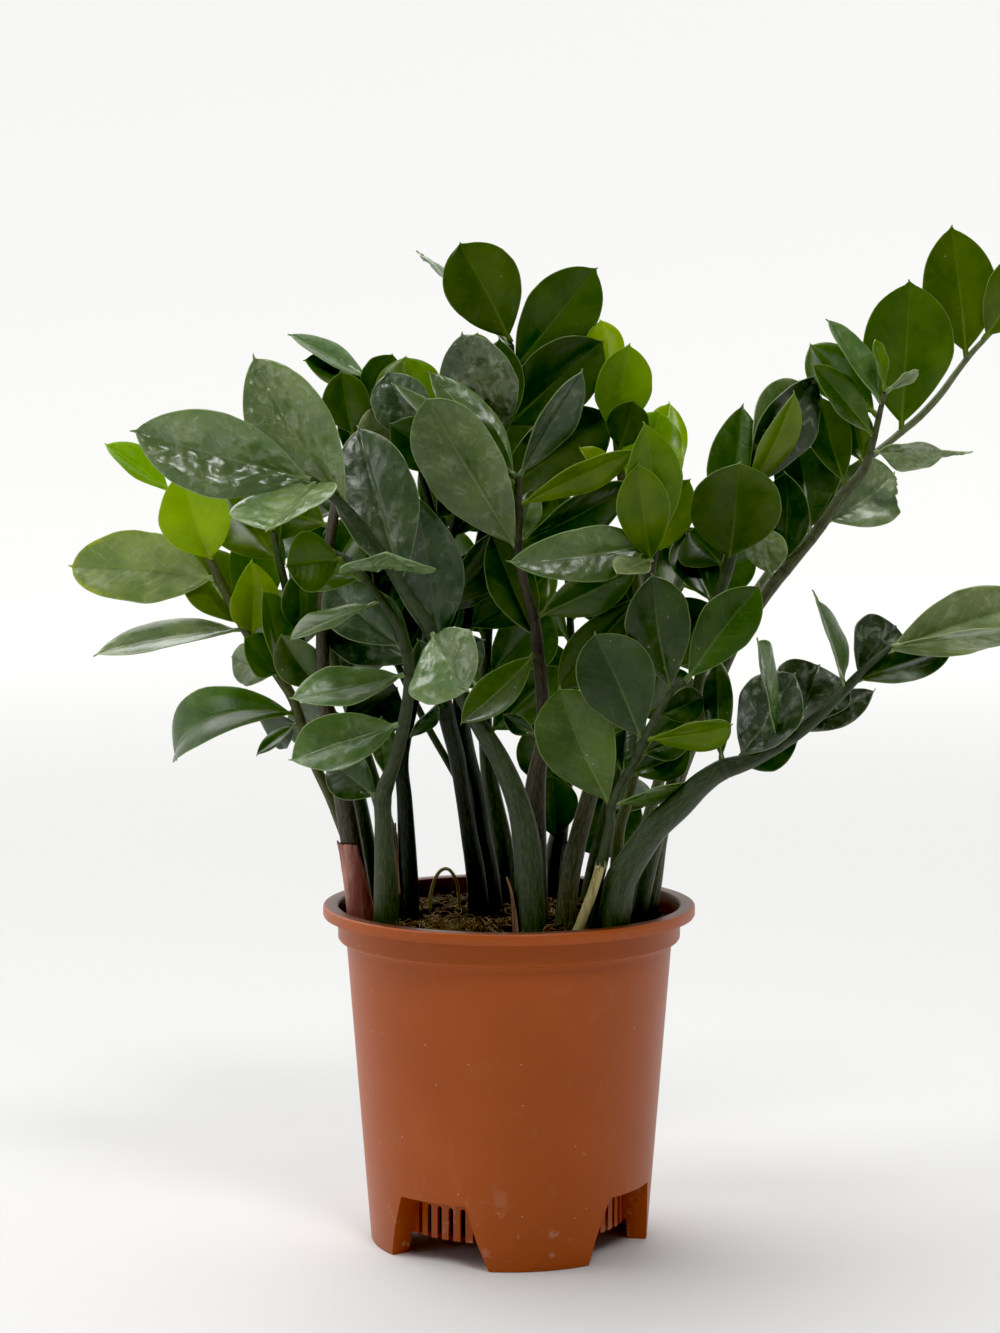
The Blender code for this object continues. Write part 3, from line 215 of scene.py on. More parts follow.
      (10.6, 15, 0, 0, 50, 26), (5, 108, -30, 0, 26, 13))),
    ("frond_thin_back", "green",
     ((-6, 36, 128, 3.2), (-12, 36, 170, 2.4), (-19, 35, 197, 2), (-26, 34, 211, 1.8), (-39, 34, 234, 1.7),
      (-52, 32, 262, 1.6), (-60, 30, 290, 1.5), (-64, 28, 318, 1.3), (-66, 28, 345, 1)),
     ((4.8, 105, -10, 0, 48, 34), (5, 55, -5, 0, 46, 26), (5.8, 78, -10, 0, 46, 34), (6.3, 45, -5, 0, 46, 26),
      (7.2, 130, -10, 0, 44, 24), (8, 95, -10, 0, 44, 24))),
    ("frond_back_centre", "green",
     ((0.9, 46, 128, 5.4), (-2.9, 50, 170.1, 5.4), (-10.5, 56, 215.2, 3.6), (-11, 64, 265.4, 2.8),
      (-8, 72, 310, 2.3), (-12, 78, 350, 1.9), (-14, 82, 385, 1.2)),
     ((2.2, 44, 15, 0, 52, 24), (2.6, 140, -40, 0, 38, 26), (2.7, 49, -5, 0, 46, 32),
      (3.1, 119, 5, 0, 46, 28), (3.4, 36, -45, 0, 56, 28), (3.6, 143, -35, 0, 50, 28),
      (3.9, 45, 0, 0, 52, 28), (4.2, 135, -10, 0, 50, 28), (4.6, 57, -40, 0, 61, 32),
      (4.8, 130, -40, 0, 50, 28), (5.4, 60, -20, 0, 46, 26), (6, 93, -20, 0, 34, 17))),
    ("frond_back_left", "green",
     ((-44, 40, 128, 4.8), (-54, 48, 170, 3.8), (-68, 58, 215, 3.2), (-84, 70, 262, 2.8), (-94, 80, 300, 2.3),
      (-100, 86, 330, 1.9), (-104, 88, 352, 1.2)),
     ((2.4, 200, -40, 0, 46, 26), (2.7, 60, -50, 0, 50, 26), (3.3, 175, -45, 0, 56, 34),
      (3.6, 60, -40, 0, 52, 28), (4.3, 150, -45, 0, 54, 34), (4.7, 60, -35, 0, 50, 26),
      (5.4, 150, -40, 0, 44, 26), (6, 100, -30, 0, 40, 24))),
    ("frond_back_right", "green",
     ((34, 44, 128, 4.8), (42, 50, 170, 3.8), (54, 60, 215, 3.2), (66, 72, 250, 2.8), (76, 82, 280, 2.3),
      (84, 88, 305, 1.9), (88, 92, 322, 1.2)),
     ((1.32, 53, -30, 0, 34, 26), (2.5, 16, -45, 0, 48, 32), (3, 130, -40, 0, 48, 26),
      (3.4, 0, -45, 0, 50, 26), (4, 98, -40, 0, 50, 34), (4.5, 20, -45, 0, 48, 26),
      (5.2, 120, -40, 0, 40, 24))),
    ("frond_back_low", "dark_green",
     ((19, 56, 128, 5.4), (22, 64, 165.1, 5), (28, 76, 200, 2.7), (30, 88, 235, 2.3), (30, 98, 270, 1.9),
      (28, 106, 300, 1.2)),
     ((1.12, 93, 8, 0, 37, 24), (1.12, 27, -10, 0, 47, 34), (1.78, 113, 15, 0, 44, 26),
      (2.3, 35, -15, 0, 46, 26), (2.9, 125, 10, 0, 48, 32), (3.2, 40, -20, 0, 48, 28),
      (3.9, 130, -20, 0, 46, 26), (4.2, 45, -30, 0, 44, 26), (5, 100, -40, 0, 40, 24))))

# A sheath is (name, colour, the frond it clasps, lowest and highest place on its spine, middle of its
# width in degrees (0 right, -90 front), half its width below and above, how far its top stands away).
SHEATHS = (
    ("sheath_left_tall", "pink_sheath", "frond_left_tall", 0.62, 1.75, 200, 150, 95, 0.5),
    ("sheath_top_left_dry", "dry_brown", "frond_top_left", 0.49, 1.22, 190, 42, 8, 3.0),
    ("sheath_top_left_low", "dry_brown", "frond_top_left", 0.49, 0.63, -28, 40, 18, 1.5),
    ("sheath_front_right_low", "dry_brown", "frond_front_right", 0.88, 1.1, 215, 70, 25, 0.6),
    ("sheath_left_dark_torn", "dry_brown", "frond_left_dark", 1.0, 1.75, 200, 30, 6, 0.5),
)
# Stalks without leaves: name, colour, spine.
TWIGS = (
    ("cut_stub", "straw", ((24, -52, 130, 3.4), (30, -54, 150, 3.2), (36, -56, 167, 3.1),
                           (40, -57, 180, 3.0))),
    ("root_loop", "straw", ((-37, 20, 138, 1.2), (-36.5, 20, 154, 1.1), (-33, 20, 165, 1.1),
                            (-28, 20, 167, 1.1), (-24, 20, 160, 1.1), (-23, 21, 149, 1.1),
                            (-22, 22, 138, 1.2))),
)
# A tuft of moss and old root fibre is (name, middle x, y, half its length, half its width,
# height above the soil).
TUFTS = (
    ("moss_tuft_left", -50, -42, 8, 5.5, 8),
    ("moss_tuft_front", -23, -42, 17, 9, 10),
)
# Search order when a leaflet would touch a neighbour: small turns first.
LEANS, ROLLS = (0, 7, -7, 14, -14, 22, -22, 30, -30), (0, 12, -12, 24, -24, 38, -38)
TURNS, SIZES = (0, 5, -5, 10, -10), (1.0, 0.85, 0.7)


# ---------------------------------------------------------------- shared with the CAD source
def tube_faces(rings, count, last_cap=True):
    """Quads between successive rings of count points, with an n-gon at each end."""
    faces = []
    for k in range(rings - 1):
        a, b = k * count, (k + 1) * count
        faces += [(a + i, a + (i + 1) % count, b + (i + 1) % count, b + i) for i in range(count)]
    faces.append(tuple(reversed(range(count))))
    if last_cap:
        faces.append(tuple((rings - 1) * count + i for i in range(count)))
    return faces


def loft(rings, last_cap=True):
    """Points and faces of a tube through rings with the same number of points."""
    return [p for ring in rings for p in ring], tube_faces(len(rings), len(rings[0]), last_cap)


def around(angle, radius, height=0.0):
    """A point at an angle from the front towards +X."""
    return radius * math.sin(angle), -radius * math.cos(angle), height


def circle(radius, height, sides):
    return [around(TURN * i / sides, radius, height) for i in range(sides)]


def revolve(profile, sides):
    """A closed solid from a profile of (radius, height) that starts and ends on the axis."""
    points = [(0, 0, profile[0][1])]
    for radius, height in profile[1:-1]:
        points += circle(radius, height, sides)
    points.append((0, 0, profile[-1][1]))
    faces, rows, last = [], len(profile) - 2, len(points) - 1
    for i in range(sides):
        j = (i + 1) % sides
        faces.append((0, 1 + i, 1 + j))
        for k in range(rows - 1):
            a, b = 1 + k * sides, 1 + (k + 1) * sides
            faces.append((a + i, b + i, b + j, a + j))
        faces.append((1 + (rows - 1) * sides + i, last, 1 + (rows - 1) * sides + j))
    return points, faces


def wall_radius(height):
    return FOOT_RADIUS + (SHOULDER_RADIUS - FOOT_RADIUS) * height / BAND_BOTTOM


def wedge(middle, half_low, half_high, inner, outer_low, outer_high, low, high):
    """A block between two cylinders, whose half-width in degrees changes with height."""
    rings = []
    for height, half, outer in ((low, half_low, outer_low), (high, half_high, outer_high)):
        ring = []
        for radius, order in ((inner, range(ARC_STEPS + 1)), (outer, range(ARC_STEPS, -1, -1))):
            ring += [around(math.radians(middle - half + 2 * half * k / ARC_STEPS), radius, height)
                     for k in order]
        rings.append(ring)
    points, faces = loft(rings)
    flat = []  # twisted sides become two flat triangles each, as a Boolean needs
    for face in faces:
        flat += [face] if len(face) != 4 else [face[:3], (face[0], face[2], face[3])]
    return points, flat


def half_width(height):
    """Half the alcove's width in degrees, at a height."""
    share = height / ALCOVE_TOP
    return ALCOVE_HALF_BOTTOM + (ALCOVE_HALF_TOP - ALCOVE_HALF_BOTTOM) * share


def curve(points, place):
    """Catmull-Rom through the points; place is an index that may fall between two of them."""
    last = len(points) - 1
    place = min(max(place, 0.0), float(last))
    i = min(int(place), last - 1)
    t = place - i
    p = [np.array(points[min(max(i + k, 0), last)], float) for k in (-1, 0, 1, 2)]
    return 0.5 * (2 * p[1] + (p[2] - p[0]) * t + (2 * p[0] - 5 * p[1] + 4 * p[2] - p[3]) * t * t
                  + (3 * p[1] - p[0] - 3 * p[2] + p[3]) * t**3)


def frames_along(points, across=(1, 0, 0)):
    """Each point of a line, with two directions across the line that don't twist."""
    across = Vector(across)
    for k, point in enumerate(points):
        ahead = Vector(points[min(k + 1, len(points) - 1)]) - Vector(points[max(k - 1, 0)])
        ahead.normalize()
        across = (across - ahead * across.dot(ahead)).normalized()
        yield Vector(point), across, ahead.cross(across)


def ring_around(centre, across, other, radius, sides):
    return [centre + (across * math.cos(a) + other * math.sin(a)) * radius
            for a in (TURN * i / sides for i in range(sides))]


def stem(spine):
    """A stalk along its spine."""
    lines = frames_along([row[:3] for row in spine])
    return loft([ring_around(*line, max(row[3], LEAST_RADIUS), STEM_SIDES)
                 for line, row in zip(lines, spine)])


def blade_axes(heading, lean, roll):
    """Directions of a leaflet: along its midrib, where its upper side faces, and across."""
    h, t = math.radians(heading), math.radians(lean)
    along = Vector((math.cos(h) * math.cos(t), -math.sin(t), math.sin(h) * math.cos(t)))
    facing = Vector((-math.cos(h) * math.sin(t), -math.cos(t), -math.sin(h) * math.sin(t)))
    facing = Matrix.Rotation(math.radians(roll), 3, along) @ facing
    return along, facing, along.cross(facing)


def leaflet(spine, row, grow=0.0):
    """Points and faces of one leaflet, from inside its stalk to its tip."""
    place, heading, lean, roll, length, width, droop = row
    here = curve(spine, place)
    along, facing, side = blade_axes(heading, lean, roll)
    start = here[3] + STALK_REACH
    stations = [(distance, STALK_HALF, STALK_FLAT, 0.0) for distance in (0.0, start)]
    stations += [(start + (length - start) * s, width / 2 * w, LEAF_THICK / 2, s) for s, w in BLADE]
    rings, centre, gone = [], Vector(here[:3]), 0.0
    for distance, half, thick, share in stations:
        angle = math.radians(droop) * share
        ahead = along * math.cos(angle) - facing * math.sin(angle)
        up = facing * math.cos(angle) + along * math.sin(angle)
        centre = centre + ahead * (distance - gone)
        gone = distance
        lift = up * (math.sin(math.radians(LEAF_FOLD)) * half if share else 0.0)
        half += grow
        thick += grow
        rings.append([centre + side * half + lift, centre + up * thick, centre - side * half + lift,
                      centre - up * thick])
    angle = math.radians(droop)
    tip = centre + (along * math.cos(angle) - facing * math.sin(angle)) * (length + grow - gone)
    points, faces = loft(rings, last_cap=False)
    base = len(points) - 4
    points.append(tip)
    faces += [(base + i, base + (i + 1) % 4, base + 4) for i in range(4)]
    return points, faces


def tree_of(shape):
    return BVHTree.FromPolygons([Vector(p) for p in shape[0]], shape[1])


def outer_part(shape):
    """The leaflet without its stalk, so that leaflets of one frond may meet at a joint."""
    points, faces = shape
    return points, [face for face in faces if min(face) >= 8]


def settle():
    """Turns each leaflet by as little as keeps it clear of the others. Returns rows by frond."""
    stems = [tree_of(stem(spine)) for _, _, spine, _ in FRONDS]
    placed, settled = [], []
    for index, (_, _, spine, rows) in enumerate(FRONDS):
        kept = []
        for row in rows:
            kept.append(fit(index, spine, (*row, 0)[:7], stems, placed))  # droop is 0 if left out
            shape = leaflet(spine, kept[-1])
            placed.append((index, tree_of(shape), tree_of(outer_part(shape))))
        settled.append(kept)
    return settled


def fit(index, spine, row, stems, placed):
    place, heading, lean, roll, length, width, droop = row
    turns = sorted((abs(a) + abs(b) * 0.5 + abs(c) * 1.6, a, b, c)
                   for a in LEANS for b in ROLLS for c in TURNS)
    for size in SIZES:
        for _, a, b, c in turns:
            tried = (place, heading + c, lean + a, roll + b, length * size, width * size, droop)
            shape = leaflet(spine, tried, CLEARANCE)
            whole, outer = tree_of(shape), tree_of(outer_part(shape))
            if any(outer.overlap(tree) if i == index else whole.overlap(tree)
                   for i, tree in enumerate(stems)):
                continue
            if any(outer.overlap(blade) if i == index else whole.overlap(tree)
                   for i, tree, blade in placed):
                continue
            return tried
    print("no free place for the leaflet at", place, "of", FRONDS[index][0])
    return row


# ---------------------------------------------------------------- looks of the leaves
# Linear colour, how much light comes through, sheen (painted pale highlight patches, gloss and wrinkles),
# yellow patches.
LOOKS = {
    "sage": ((0.135, 0.205, 0.078), 0.15, 1.0, 0.0),
    "frosted": ((0.190, 0.268, 0.098), 0.15, 1.0, 0.0),
    "silver": ((0.120, 0.165, 0.088), 0.10, 1.0, 0.0),
    "satin": ((0.100, 0.168, 0.050), 0.20, 0.50, 0.0),
    "dusky": ((0.050, 0.082, 0.036), 0.10, 0.35, 0.0),
    "gloss": ((0.032, 0.052, 0.022), 0.10, 0.60, 0.0),
    "mid": ((0.058, 0.112, 0.013), 0.30, 0.15, 0.0),
    "dark": ((0.026, 0.058, 0.008), 0.20, 0.10, 0.0),
    "deep": ((0.036, 0.074, 0.006), 0.25, 0.05, 0.0),
    "bright": ((0.178, 0.258, 0.003), 1.0, 0.0, 0.0),
    "fresh": ((0.104, 0.172, 0.001), 0.75, 0.05, 0.0),
    "olive": ((0.052, 0.102, 0.001), 0.55, 0.05, 0.0),
    "spring": ((0.072, 0.130, 0.001), 0.60, 0.05, 0.0),
    "pale": ((0.170, 0.230, 0.095), 0.25, 0.6, 0.1),
    "yellowing": ((0.185, 0.250, 0.080), 0.35, 0.5, 1.0),
}
# The looks of each frond's leaves, in the order of its row. The last look goes on to the row's end.
LEAF_LOOKS = {
    "frond_top_left": "sage sage dusky frosted sage frosted",
    "frond_front_left": "satin satin dark satin mid olive dusky olive",
    "frond_front_right": "dark mid dark deep fresh satin dark",
    "frond_arching_right": "gloss dark satin gloss dark gloss satin gloss dark pale",
    "frond_centre": "fresh satin mid satin dark satin mid mid dark dusky deep",
    "frond_centre_right": "satin pale deep fresh fresh deep",
    "frond_left_bright": "bright bright bright fresh yellowing fresh pale satin fresh fresh mid dark mid",
    "frond_right_upper": "dark dark pale sage satin mid olive fresh pale olive olive sage",
    "frond_right_round": "olive mid fresh satin gloss deep",
    "frond_left_tall": "satin olive",
    "frond_left_dark": "silver pale fresh dusky",
    "frond_centre_grey": "silver dark dusky deep",
    "frond_top_centre": "olive sage olive deep deep deep olive",
    "frond_right_mid": "bright bright bright olive bright fresh deep olive deep deep bright",
    "frond_left_mid": "mid mid olive fresh fresh dark",
    "frond_right_far": "spring spring spring spring spring satin",
    "frond_thin_back": "deep",
    "frond_back_centre": "mid",
    "frond_back_left": "dusky",
    "frond_back_right": "deep",
    "frond_back_low": "mid",
}
# Leaves whose outline differs: belly (place of the widest part), blunt (0 pointed to 1 round), tail (share
# of the length drawn out to a narrow tip), ripple (waves of the margin), torn (a bite out of one side near
# the tip), cup (depth of the fold), turn (degrees about the midrib, more than in the CAD).
SHAPES = {
    "frond_left_bright": {2: {"belly": 0.36, "blunt": 0.1, "ripple": 2.2},
                          4: {"belly": 0.42, "blunt": 0.9, "ripple": 1.2},
                          6: {"belly": 0.50, "blunt": 0.0, "ripple": 1.5}},
    "frond_right_upper": {2: {"belly": 0.55, "blunt": 0.8, "torn": 1.0},
                          3: {"belly": 0.40, "tail": 0.28, "ripple": 2.0},
                          7: {"belly": 0.60, "blunt": 1.0, "ripple": 2.0},
                          8: {"belly": 0.70, "blunt": 1.0, "ripple": 2.0}},
    "frond_right_round": {0: {"belly": 0.50, "blunt": 1.0, "ripple": 0.5, "cup": 1.2}},
    "frond_right_mid": {2: {"belly": 0.62, "blunt": 0.8, "ripple": 2.4}, 5: {"ripple": 2.6},
                        10: {"belly": 0.60, "blunt": 0.7, "ripple": 2.6}},
    "frond_front_right": {0: {"belly": 0.60, "blunt": 0.7}, 1: {"belly": 0.62, "blunt": 0.5, "ripple": 1.4},
                          4: {"belly": 0.64, "blunt": 0.9}},
    "frond_centre_right": {0: {"belly": 0.36, "blunt": 0.2}},
    "frond_top_left": {0: {"belly": 0.60, "blunt": 0.6, "ripple": 1.6}, 3: {"cup": 2.0},
                       4: {"belly": 0.55, "blunt": 0.25, "cup": 3.3, "turn": 26},
                       5: {"belly": 0.54, "blunt": 0.25, "cup": 3.0}},
    "frond_centre": {1: {"belly": 0.60, "blunt": 0.9, "cup": 3.0}},
    "frond_arching_right": {2: {"belly": 0.75, "blunt": 0.3},
                            6: {"belly": 0.40, "tail": 0.10, "ripple": 1.6}},
}
# How wrinkled the leaves of a look are. The others are smooth.
CRINKLES = {"silver": 1.0, "sage": 0.9, "frosted": 1.0, "gloss": 0.5, "satin": 0.2, "pale": 0.2,
            "yellowing": 0.3, "dusky": 0.2}
# Fronds near the camera, whose leaves have more points; long leaves there and silver ones have the most.
CLOSE_FRONDS = ("frond_top_left", "frond_front_left", "frond_front_right", "frond_arching_right",
                "frond_centre", "frond_centre_right")
LONG_LEAF = 60
FINE_GRID, CLOSE_GRID, FAR_GRID = (64, 30), (36, 20), (28, 14)  # rows along a leaf, columns across
# Share of the CAD's radius that remains towards the top of a thin stalk, and of a twig.
SLIM, TWIG_SLIM = {"frond_right_upper": 0.78, "frond_right_far": 0.72}, 0.72
# Stalk: colour, streak colour, height of the ribs as a share of the radius.
STALK_LOOKS = {
    "grey_green": ((0.026, 0.042, 0.013), (0.050, 0.068, 0.027), 0.035),
    "green": ((0.028, 0.044, 0.012), (0.056, 0.072, 0.026), 0.02),
    "dark_green": ((0.008, 0.013, 0.005), (0.022, 0.030, 0.013), 0.02),
    "pale_green": ((0.050, 0.055, 0.022), (0.105, 0.105, 0.055), 0.02),
    "bright_green": ((0.060, 0.075, 0.015), (0.120, 0.130, 0.040), 0.02),
    "brown_green": ((0.040, 0.036, 0.020), (0.085, 0.070, 0.042), 0.03),
    "olive_green": ((0.050, 0.060, 0.020), (0.105, 0.115, 0.050), 0.03),
    "light_green": ((0.105, 0.135, 0.048), (0.215, 0.255, 0.125), 0.02),
}
# Stalks that look unlike the others of their slot.
STALK_TINTS = {"frond_right_upper": "olive_green", "frond_right_far": "light_green"}
# Dull pieces, by slot: material, dark and light colour, scale and depth of the grain, roughness, specular,
# and how the grain is drawn out along the height. Old roots have the straw's slot, but a look of their own.
ROUGH_LOOKS = {
    "pink_sheath": ("papery_pink", (0.23, 0.070, 0.052), (0.47, 0.23, 0.18), 160, 0.0004, 0.6, 0.4,
                    (1, 1, 0.15)),
    "dry_brown": ("papery_brown", (0.10, 0.05, 0.03), (0.30, 0.17, 0.10), 200, 0.0005, 0.8, 0.3,
                  (1, 1, 0.15)),
    "straw": ("straw", (0.21, 0.19, 0.065), (0.50, 0.43, 0.20), 220, 0.0004, 0.75, 0.35, (1, 1, 0.12)),
    "moss": ("moss", (0.055, 0.036, 0.014), (0.17, 0.115, 0.045), 260, 0.0006, 0.95, 0.2),
}
COMPOST_LOOK = ("compost", (0.010, 0.007, 0.005), (0.052, 0.034, 0.021), 240, 0.0012, 0.95, 0.15)
ROOT_LOOK = ("dry_root", (0.075, 0.048, 0.020), (0.29, 0.20, 0.09), 300, 0.0002, 0.9, 0.2)


# ---------------------------------------------------------------- meshes
def metre(points):
    return (np.asarray(points, float) + np.array(ORIGIN_SHIFT)) * MM


def show(name, data):
    """A new object in the scene."""
    obj = bpy.data.objects.new(name, data)
    bpy.context.scene.collection.objects.link(obj)
    return obj


def new_mesh(name, points, faces):
    mesh = bpy.data.meshes.new(name)
    mesh.from_pydata(points, [], [tuple(face) for face in faces])
    return mesh


def piece(name, points, faces, mat, slot, replaces=(), attributes=None):
    """A visible piece from millimetre points, riding on the one body."""
    mesh = new_mesh(name, metre(points).tolist(), faces)
    for key, values in (attributes or {}).items():
        values = np.asarray(values, np.float32)
        kind, field = ("FLOAT", "value") if values.ndim == 1 else ("FLOAT_VECTOR", "vector")
        mesh.attributes.new(key, kind, "POINT").data.foreach_set(field, values.ravel())
    mesh.materials.append(mat)
    mesh.shade_smooth()
    obj = show(name, mesh)
    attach(obj, "root")
    if replaces:
        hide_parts(*replaces)
    return obj


def disc_faces(rings, sides):
    """Faces from a middle point out through rings of points."""
    faces = [(0, 1 + i, 1 + (i + 1) % sides) for i in range(sides)]
    for k in range(rings - 1):
        a, b = 1 + k * sides, 1 + (k + 1) * sides
        faces += [(a + i, b + i, b + (i + 1) % sides, a + (i + 1) % sides) for i in range(sides)]
    return faces


def ball(subdivisions):
    """Corners and faces of a sphere of radius 1."""
    sphere = bmesh.new()
    bmesh.ops.create_icosphere(sphere, subdivisions=subdivisions, radius=1)
    sphere.verts.index_update()
    corners = [vert.co.copy() for vert in sphere.verts]
    faces = [tuple(vert.index for vert in face.verts) for face in sphere.faces]
    sphere.free()
    return corners, faces


class Bunch:
    """Collects the points, faces and attributes of many small shapes for one mesh."""

    def __init__(self):
        self.points, self.faces, self.values, self.count = [], [], {}, 0

    def add(self, points, faces, **values):
        """Adds a shape. A value is one for the whole shape, or one for each point."""
        points = np.asarray(points, float).reshape(-1, 3)
        self.faces += [tuple(i + self.count for i in face) for face in faces]
        self.points.append(points)
        for key, value in values.items():
            value = np.asarray(value, float)
            if len(value) != len(points):
                value = np.broadcast_to(value, (len(points),) + value.shape)
            self.values.setdefault(key, []).append(value)
        self.count += len(points)

    def make(self, name, mat, slot, replaces=()):
        attributes = {key: np.concatenate(parts) for key, parts in self.values.items()}
        return piece(name, np.concatenate(self.points), self.faces, mat, slot, replaces, attributes)


# ---------------------------------------------------------------- leaves
VEINS, VEIN_SLANT = 8, 0.16  # pairs along a leaf, and how far they lean towards its tip, per mm
GROOVE_DEPTH, GROOVE_HALF = 0.42, 0.75  # of the midrib, on the upper side
KEEL_DEPTH, KEEL_HALF = 0.55, 0.9  # of the midrib, on the underside
MARGIN_WAVER, MARGIN_WAVE = 0.045, 0.050  # shares of the half-width, sideways and up
BUMP_HEIGHT, WRINKLE_HEIGHT = 1.9, 1.3  # of a leaf with crinkle 1
CUP_LEAST, CUP_MOST = 1.6, 2.7


def outline(share, belly, blunt, tail):
    """Half-width of a blade as a share of its widest, from a wedge-shaped base to a tip with a small cusp."""
    body = np.clip(share / (0.97 - tail), 0, 1)
    back = np.clip((belly - body) / belly, 0, 1)
    ahead = np.clip((body - belly) / (1 - belly), 0, 1)
    blade = np.where(body < belly, (1 - back ** 1.7) ** 0.95,
                     (1 - ahead ** (2.0 + 0.9 * blunt)) ** (0.85 - 0.30 * blunt))
    cusp = (0.055 + 0.60 * tail) * np.clip((1.01 - share) / (0.06 + tail), 0, 1) ** 0.9
    return np.maximum(blade, np.where(share > belly, cusp, 0))


def vectors(*values):
    """One vector for each point, from values that differ by row, by column or by point."""
    return np.stack(np.broadcast_arrays(*values), -1).reshape(-1, 3)


def both_sides(values):
    """Values for the upper side and then, from right to left, for the underside."""
    return np.concatenate([values, values[..., ::-1]], axis=-1)


def fine_leaf(spine, row, look, grid_size, rng, crinkle, shape):
    """A blade with a fold, a grooved midrib, sunken veins, thin margins and gentle waves, on its short stalk.

    s runs from 0 at the foot of the blade to 1 at its tip, and v from -1 to 1 across it.
    """
    place, heading, lean, roll, length, width, droop = row
    rows, cols = grid_size
    here = curve(spine, place)
    axes = blade_axes(heading, lean, roll + shape.get("turn", 0))
    along, facing, side = (np.array(axis) for axis in axes)
    start = here[3] + STALK_REACH
    even = np.linspace(0, 1, rows)
    share = 0.45 * even + 0.275 * (1 - np.cos(math.pi * even))  # closer rows near both ends
    share[-1] = 0.999
    distance = np.concatenate([[0.0, start * 0.75], start + (length - start) * share])
    s = np.clip((distance - start) / (length - start), 0, 1)
    roundness = min(max((width / length - 0.45) / 0.25, 0), 1)
    belly = shape.get("belly", rng.uniform(0.46, 0.60))
    blunt = shape.get("blunt", 0.10 + 0.40 * roundness + rng.uniform(-0.15, 0.20))
    ripple = shape.get("ripple", rng.uniform(0.6, 1.3))
    half = np.maximum(width / 2 * outline(s, belly, blunt, shape.get("tail", 0)),
                      STALK_HALF * np.clip(1 - s * 8, 0.08, 1))

    # The midrib droops, twists and sways, and ends in a little hook.
    angle = np.radians(droop * np.minimum(2 * s, s + 0.115) + rng.uniform(-8, 12) * s**2.5)[:, None]
    ahead = along * np.cos(angle) - facing * np.sin(angle)
    up = facing * np.cos(angle) + along * np.sin(angle)
    gap = np.diff(distance, prepend=0.0)[:, None]
    centre = here[:3] + np.cumsum(gap * (ahead + np.vstack([ahead[:1], ahead[:-1]])) / 2, axis=0)
    twist = np.radians(rng.uniform(-10, 10) * s)[:, None]
    across = side * np.cos(twist) + up * np.sin(twist)
    up = up * np.cos(twist) - side * np.sin(twist)
    sway = rng.uniform(-0.03, 0.03) * length * np.sin(math.pi * s)[:, None]
    hook = rng.choice((-1, 1)) * (0.8 * np.clip((s - 0.95) / 0.05, 0, 1) ** 2)[:, None]
    centre = centre + across * (sway + hook)

    # The margin wavers, and may have a bite out of one side.
    inner = np.linspace(-1, 1, cols - 2)
    v = np.concatenate([[-1], np.sign(inner) * np.abs(inner) ** 1.1 * 0.965, [1]])
    off = np.abs(v)
    blade = np.clip(s * 9, 0, 1)[:, None]
    s_row = s[:, None]
    seed, phase, waves = rng.uniform(0, 60), rng.uniform(0, 6.28), rng.uniform(1.2, 2.2)
    edge = np.array([[noise.noise((q * 4.0, seed + 9 * hand, 0.0))
                      + 0.5 * noise.noise((q * 9.0, seed, 5.0 * hand)) for hand in (0, 1)] for q in s])
    edge = edge * MARGIN_WAVER * ripple * np.clip(s * (1 - s) * 8, 0, 1)[:, None]
    if shape.get("torn"):
        bite = np.clip((s - 0.70) / 0.08, 0, 1) * (0.42 + 0.10 * np.sin(s * 95) + 0.08 * np.sin(s * 210))
        edge[:, 1] -= bite * np.clip((0.99 - s) / 0.05, 0, 1)
    wide = half[:, None] * (1 + np.where(v < 0, edge[:, :1], edge[:, 1:]))

    # The upper side folds up from the midrib, waves, and is quilted between its veins.
    cup = shape.get("cup", rng.uniform(CUP_LEAST, CUP_MOST))
    fold = math.sin(math.radians(LEAF_FOLD)) * wide * off ** 1.05 * (1.12 - 0.35 * v * v) * cup
    wave = MARGIN_WAVE * ripple * wide * np.sin(TURN * waves * s_row + phase + np.sign(v) * 0.9) * off ** 2.2
    groove = GROOVE_DEPTH * np.exp(-(v * wide / GROOVE_HALF) ** 2) * (1 - 0.85 * s_row)
    keel = KEEL_DEPTH * np.exp(-(v * wide / KEEL_HALF) ** 2) * (1 - 0.8 * s_row)
    warp = np.array([noise.noise((q * 5.0, seed, 9.0)) for q in s])[:, None]
    ribs = np.cos(TURN * (s_row * VEINS + 0.7 * warp + np.sign(v) * 0.13 - np.abs(v * wide) * VEIN_SLANT))
    quilt = (0.10 + 0.22 * crinkle) * np.clip(ribs, -1, 0.4) * np.clip(off * 4, 0, 1) * (1 - off ** 3)
    thick = (LEAF_THICK * (1 - 0.35 * s_row) * blade + 2 * STALK_FLAT * (1 - blade)) * (1 - 0.62 * off ** 2.4)
    lift = (fold + wave - quilt) * blade
    if crinkle:
        bumps = np.array([[noise.noise((w * 0.15 * q + 40 * phase, d * 0.12, phase)) for q in v]
                          for w, d in zip(half, distance)])
        fine = np.array([[abs(noise.noise((w * 0.30 * q, d * 0.21 + 9 * phase, waves)))
                          + 0.5 * noise.noise((w * 0.62 * q, d * 0.45 + 9 * phase, waves)) for q in v]
                         for w, d in zip(half, distance)])
        lift = lift + (bumps * BUMP_HEIGHT + fine * WRINKLE_HEIGHT) * crinkle * blade * (1 - 0.8 * off ** 4)
    spread = centre[:, None] + across[:, None] * (wide * v * math.cos(math.radians(LEAF_FOLD)))[..., None]
    top = spread + up[:, None] * (lift + thick / 2 - groove * blade)[..., None]
    bottom = (spread + up[:, None] * (lift - thick / 2 - keel * blade)[..., None])[:, ::-1]
    points = np.concatenate([top, bottom], axis=1)

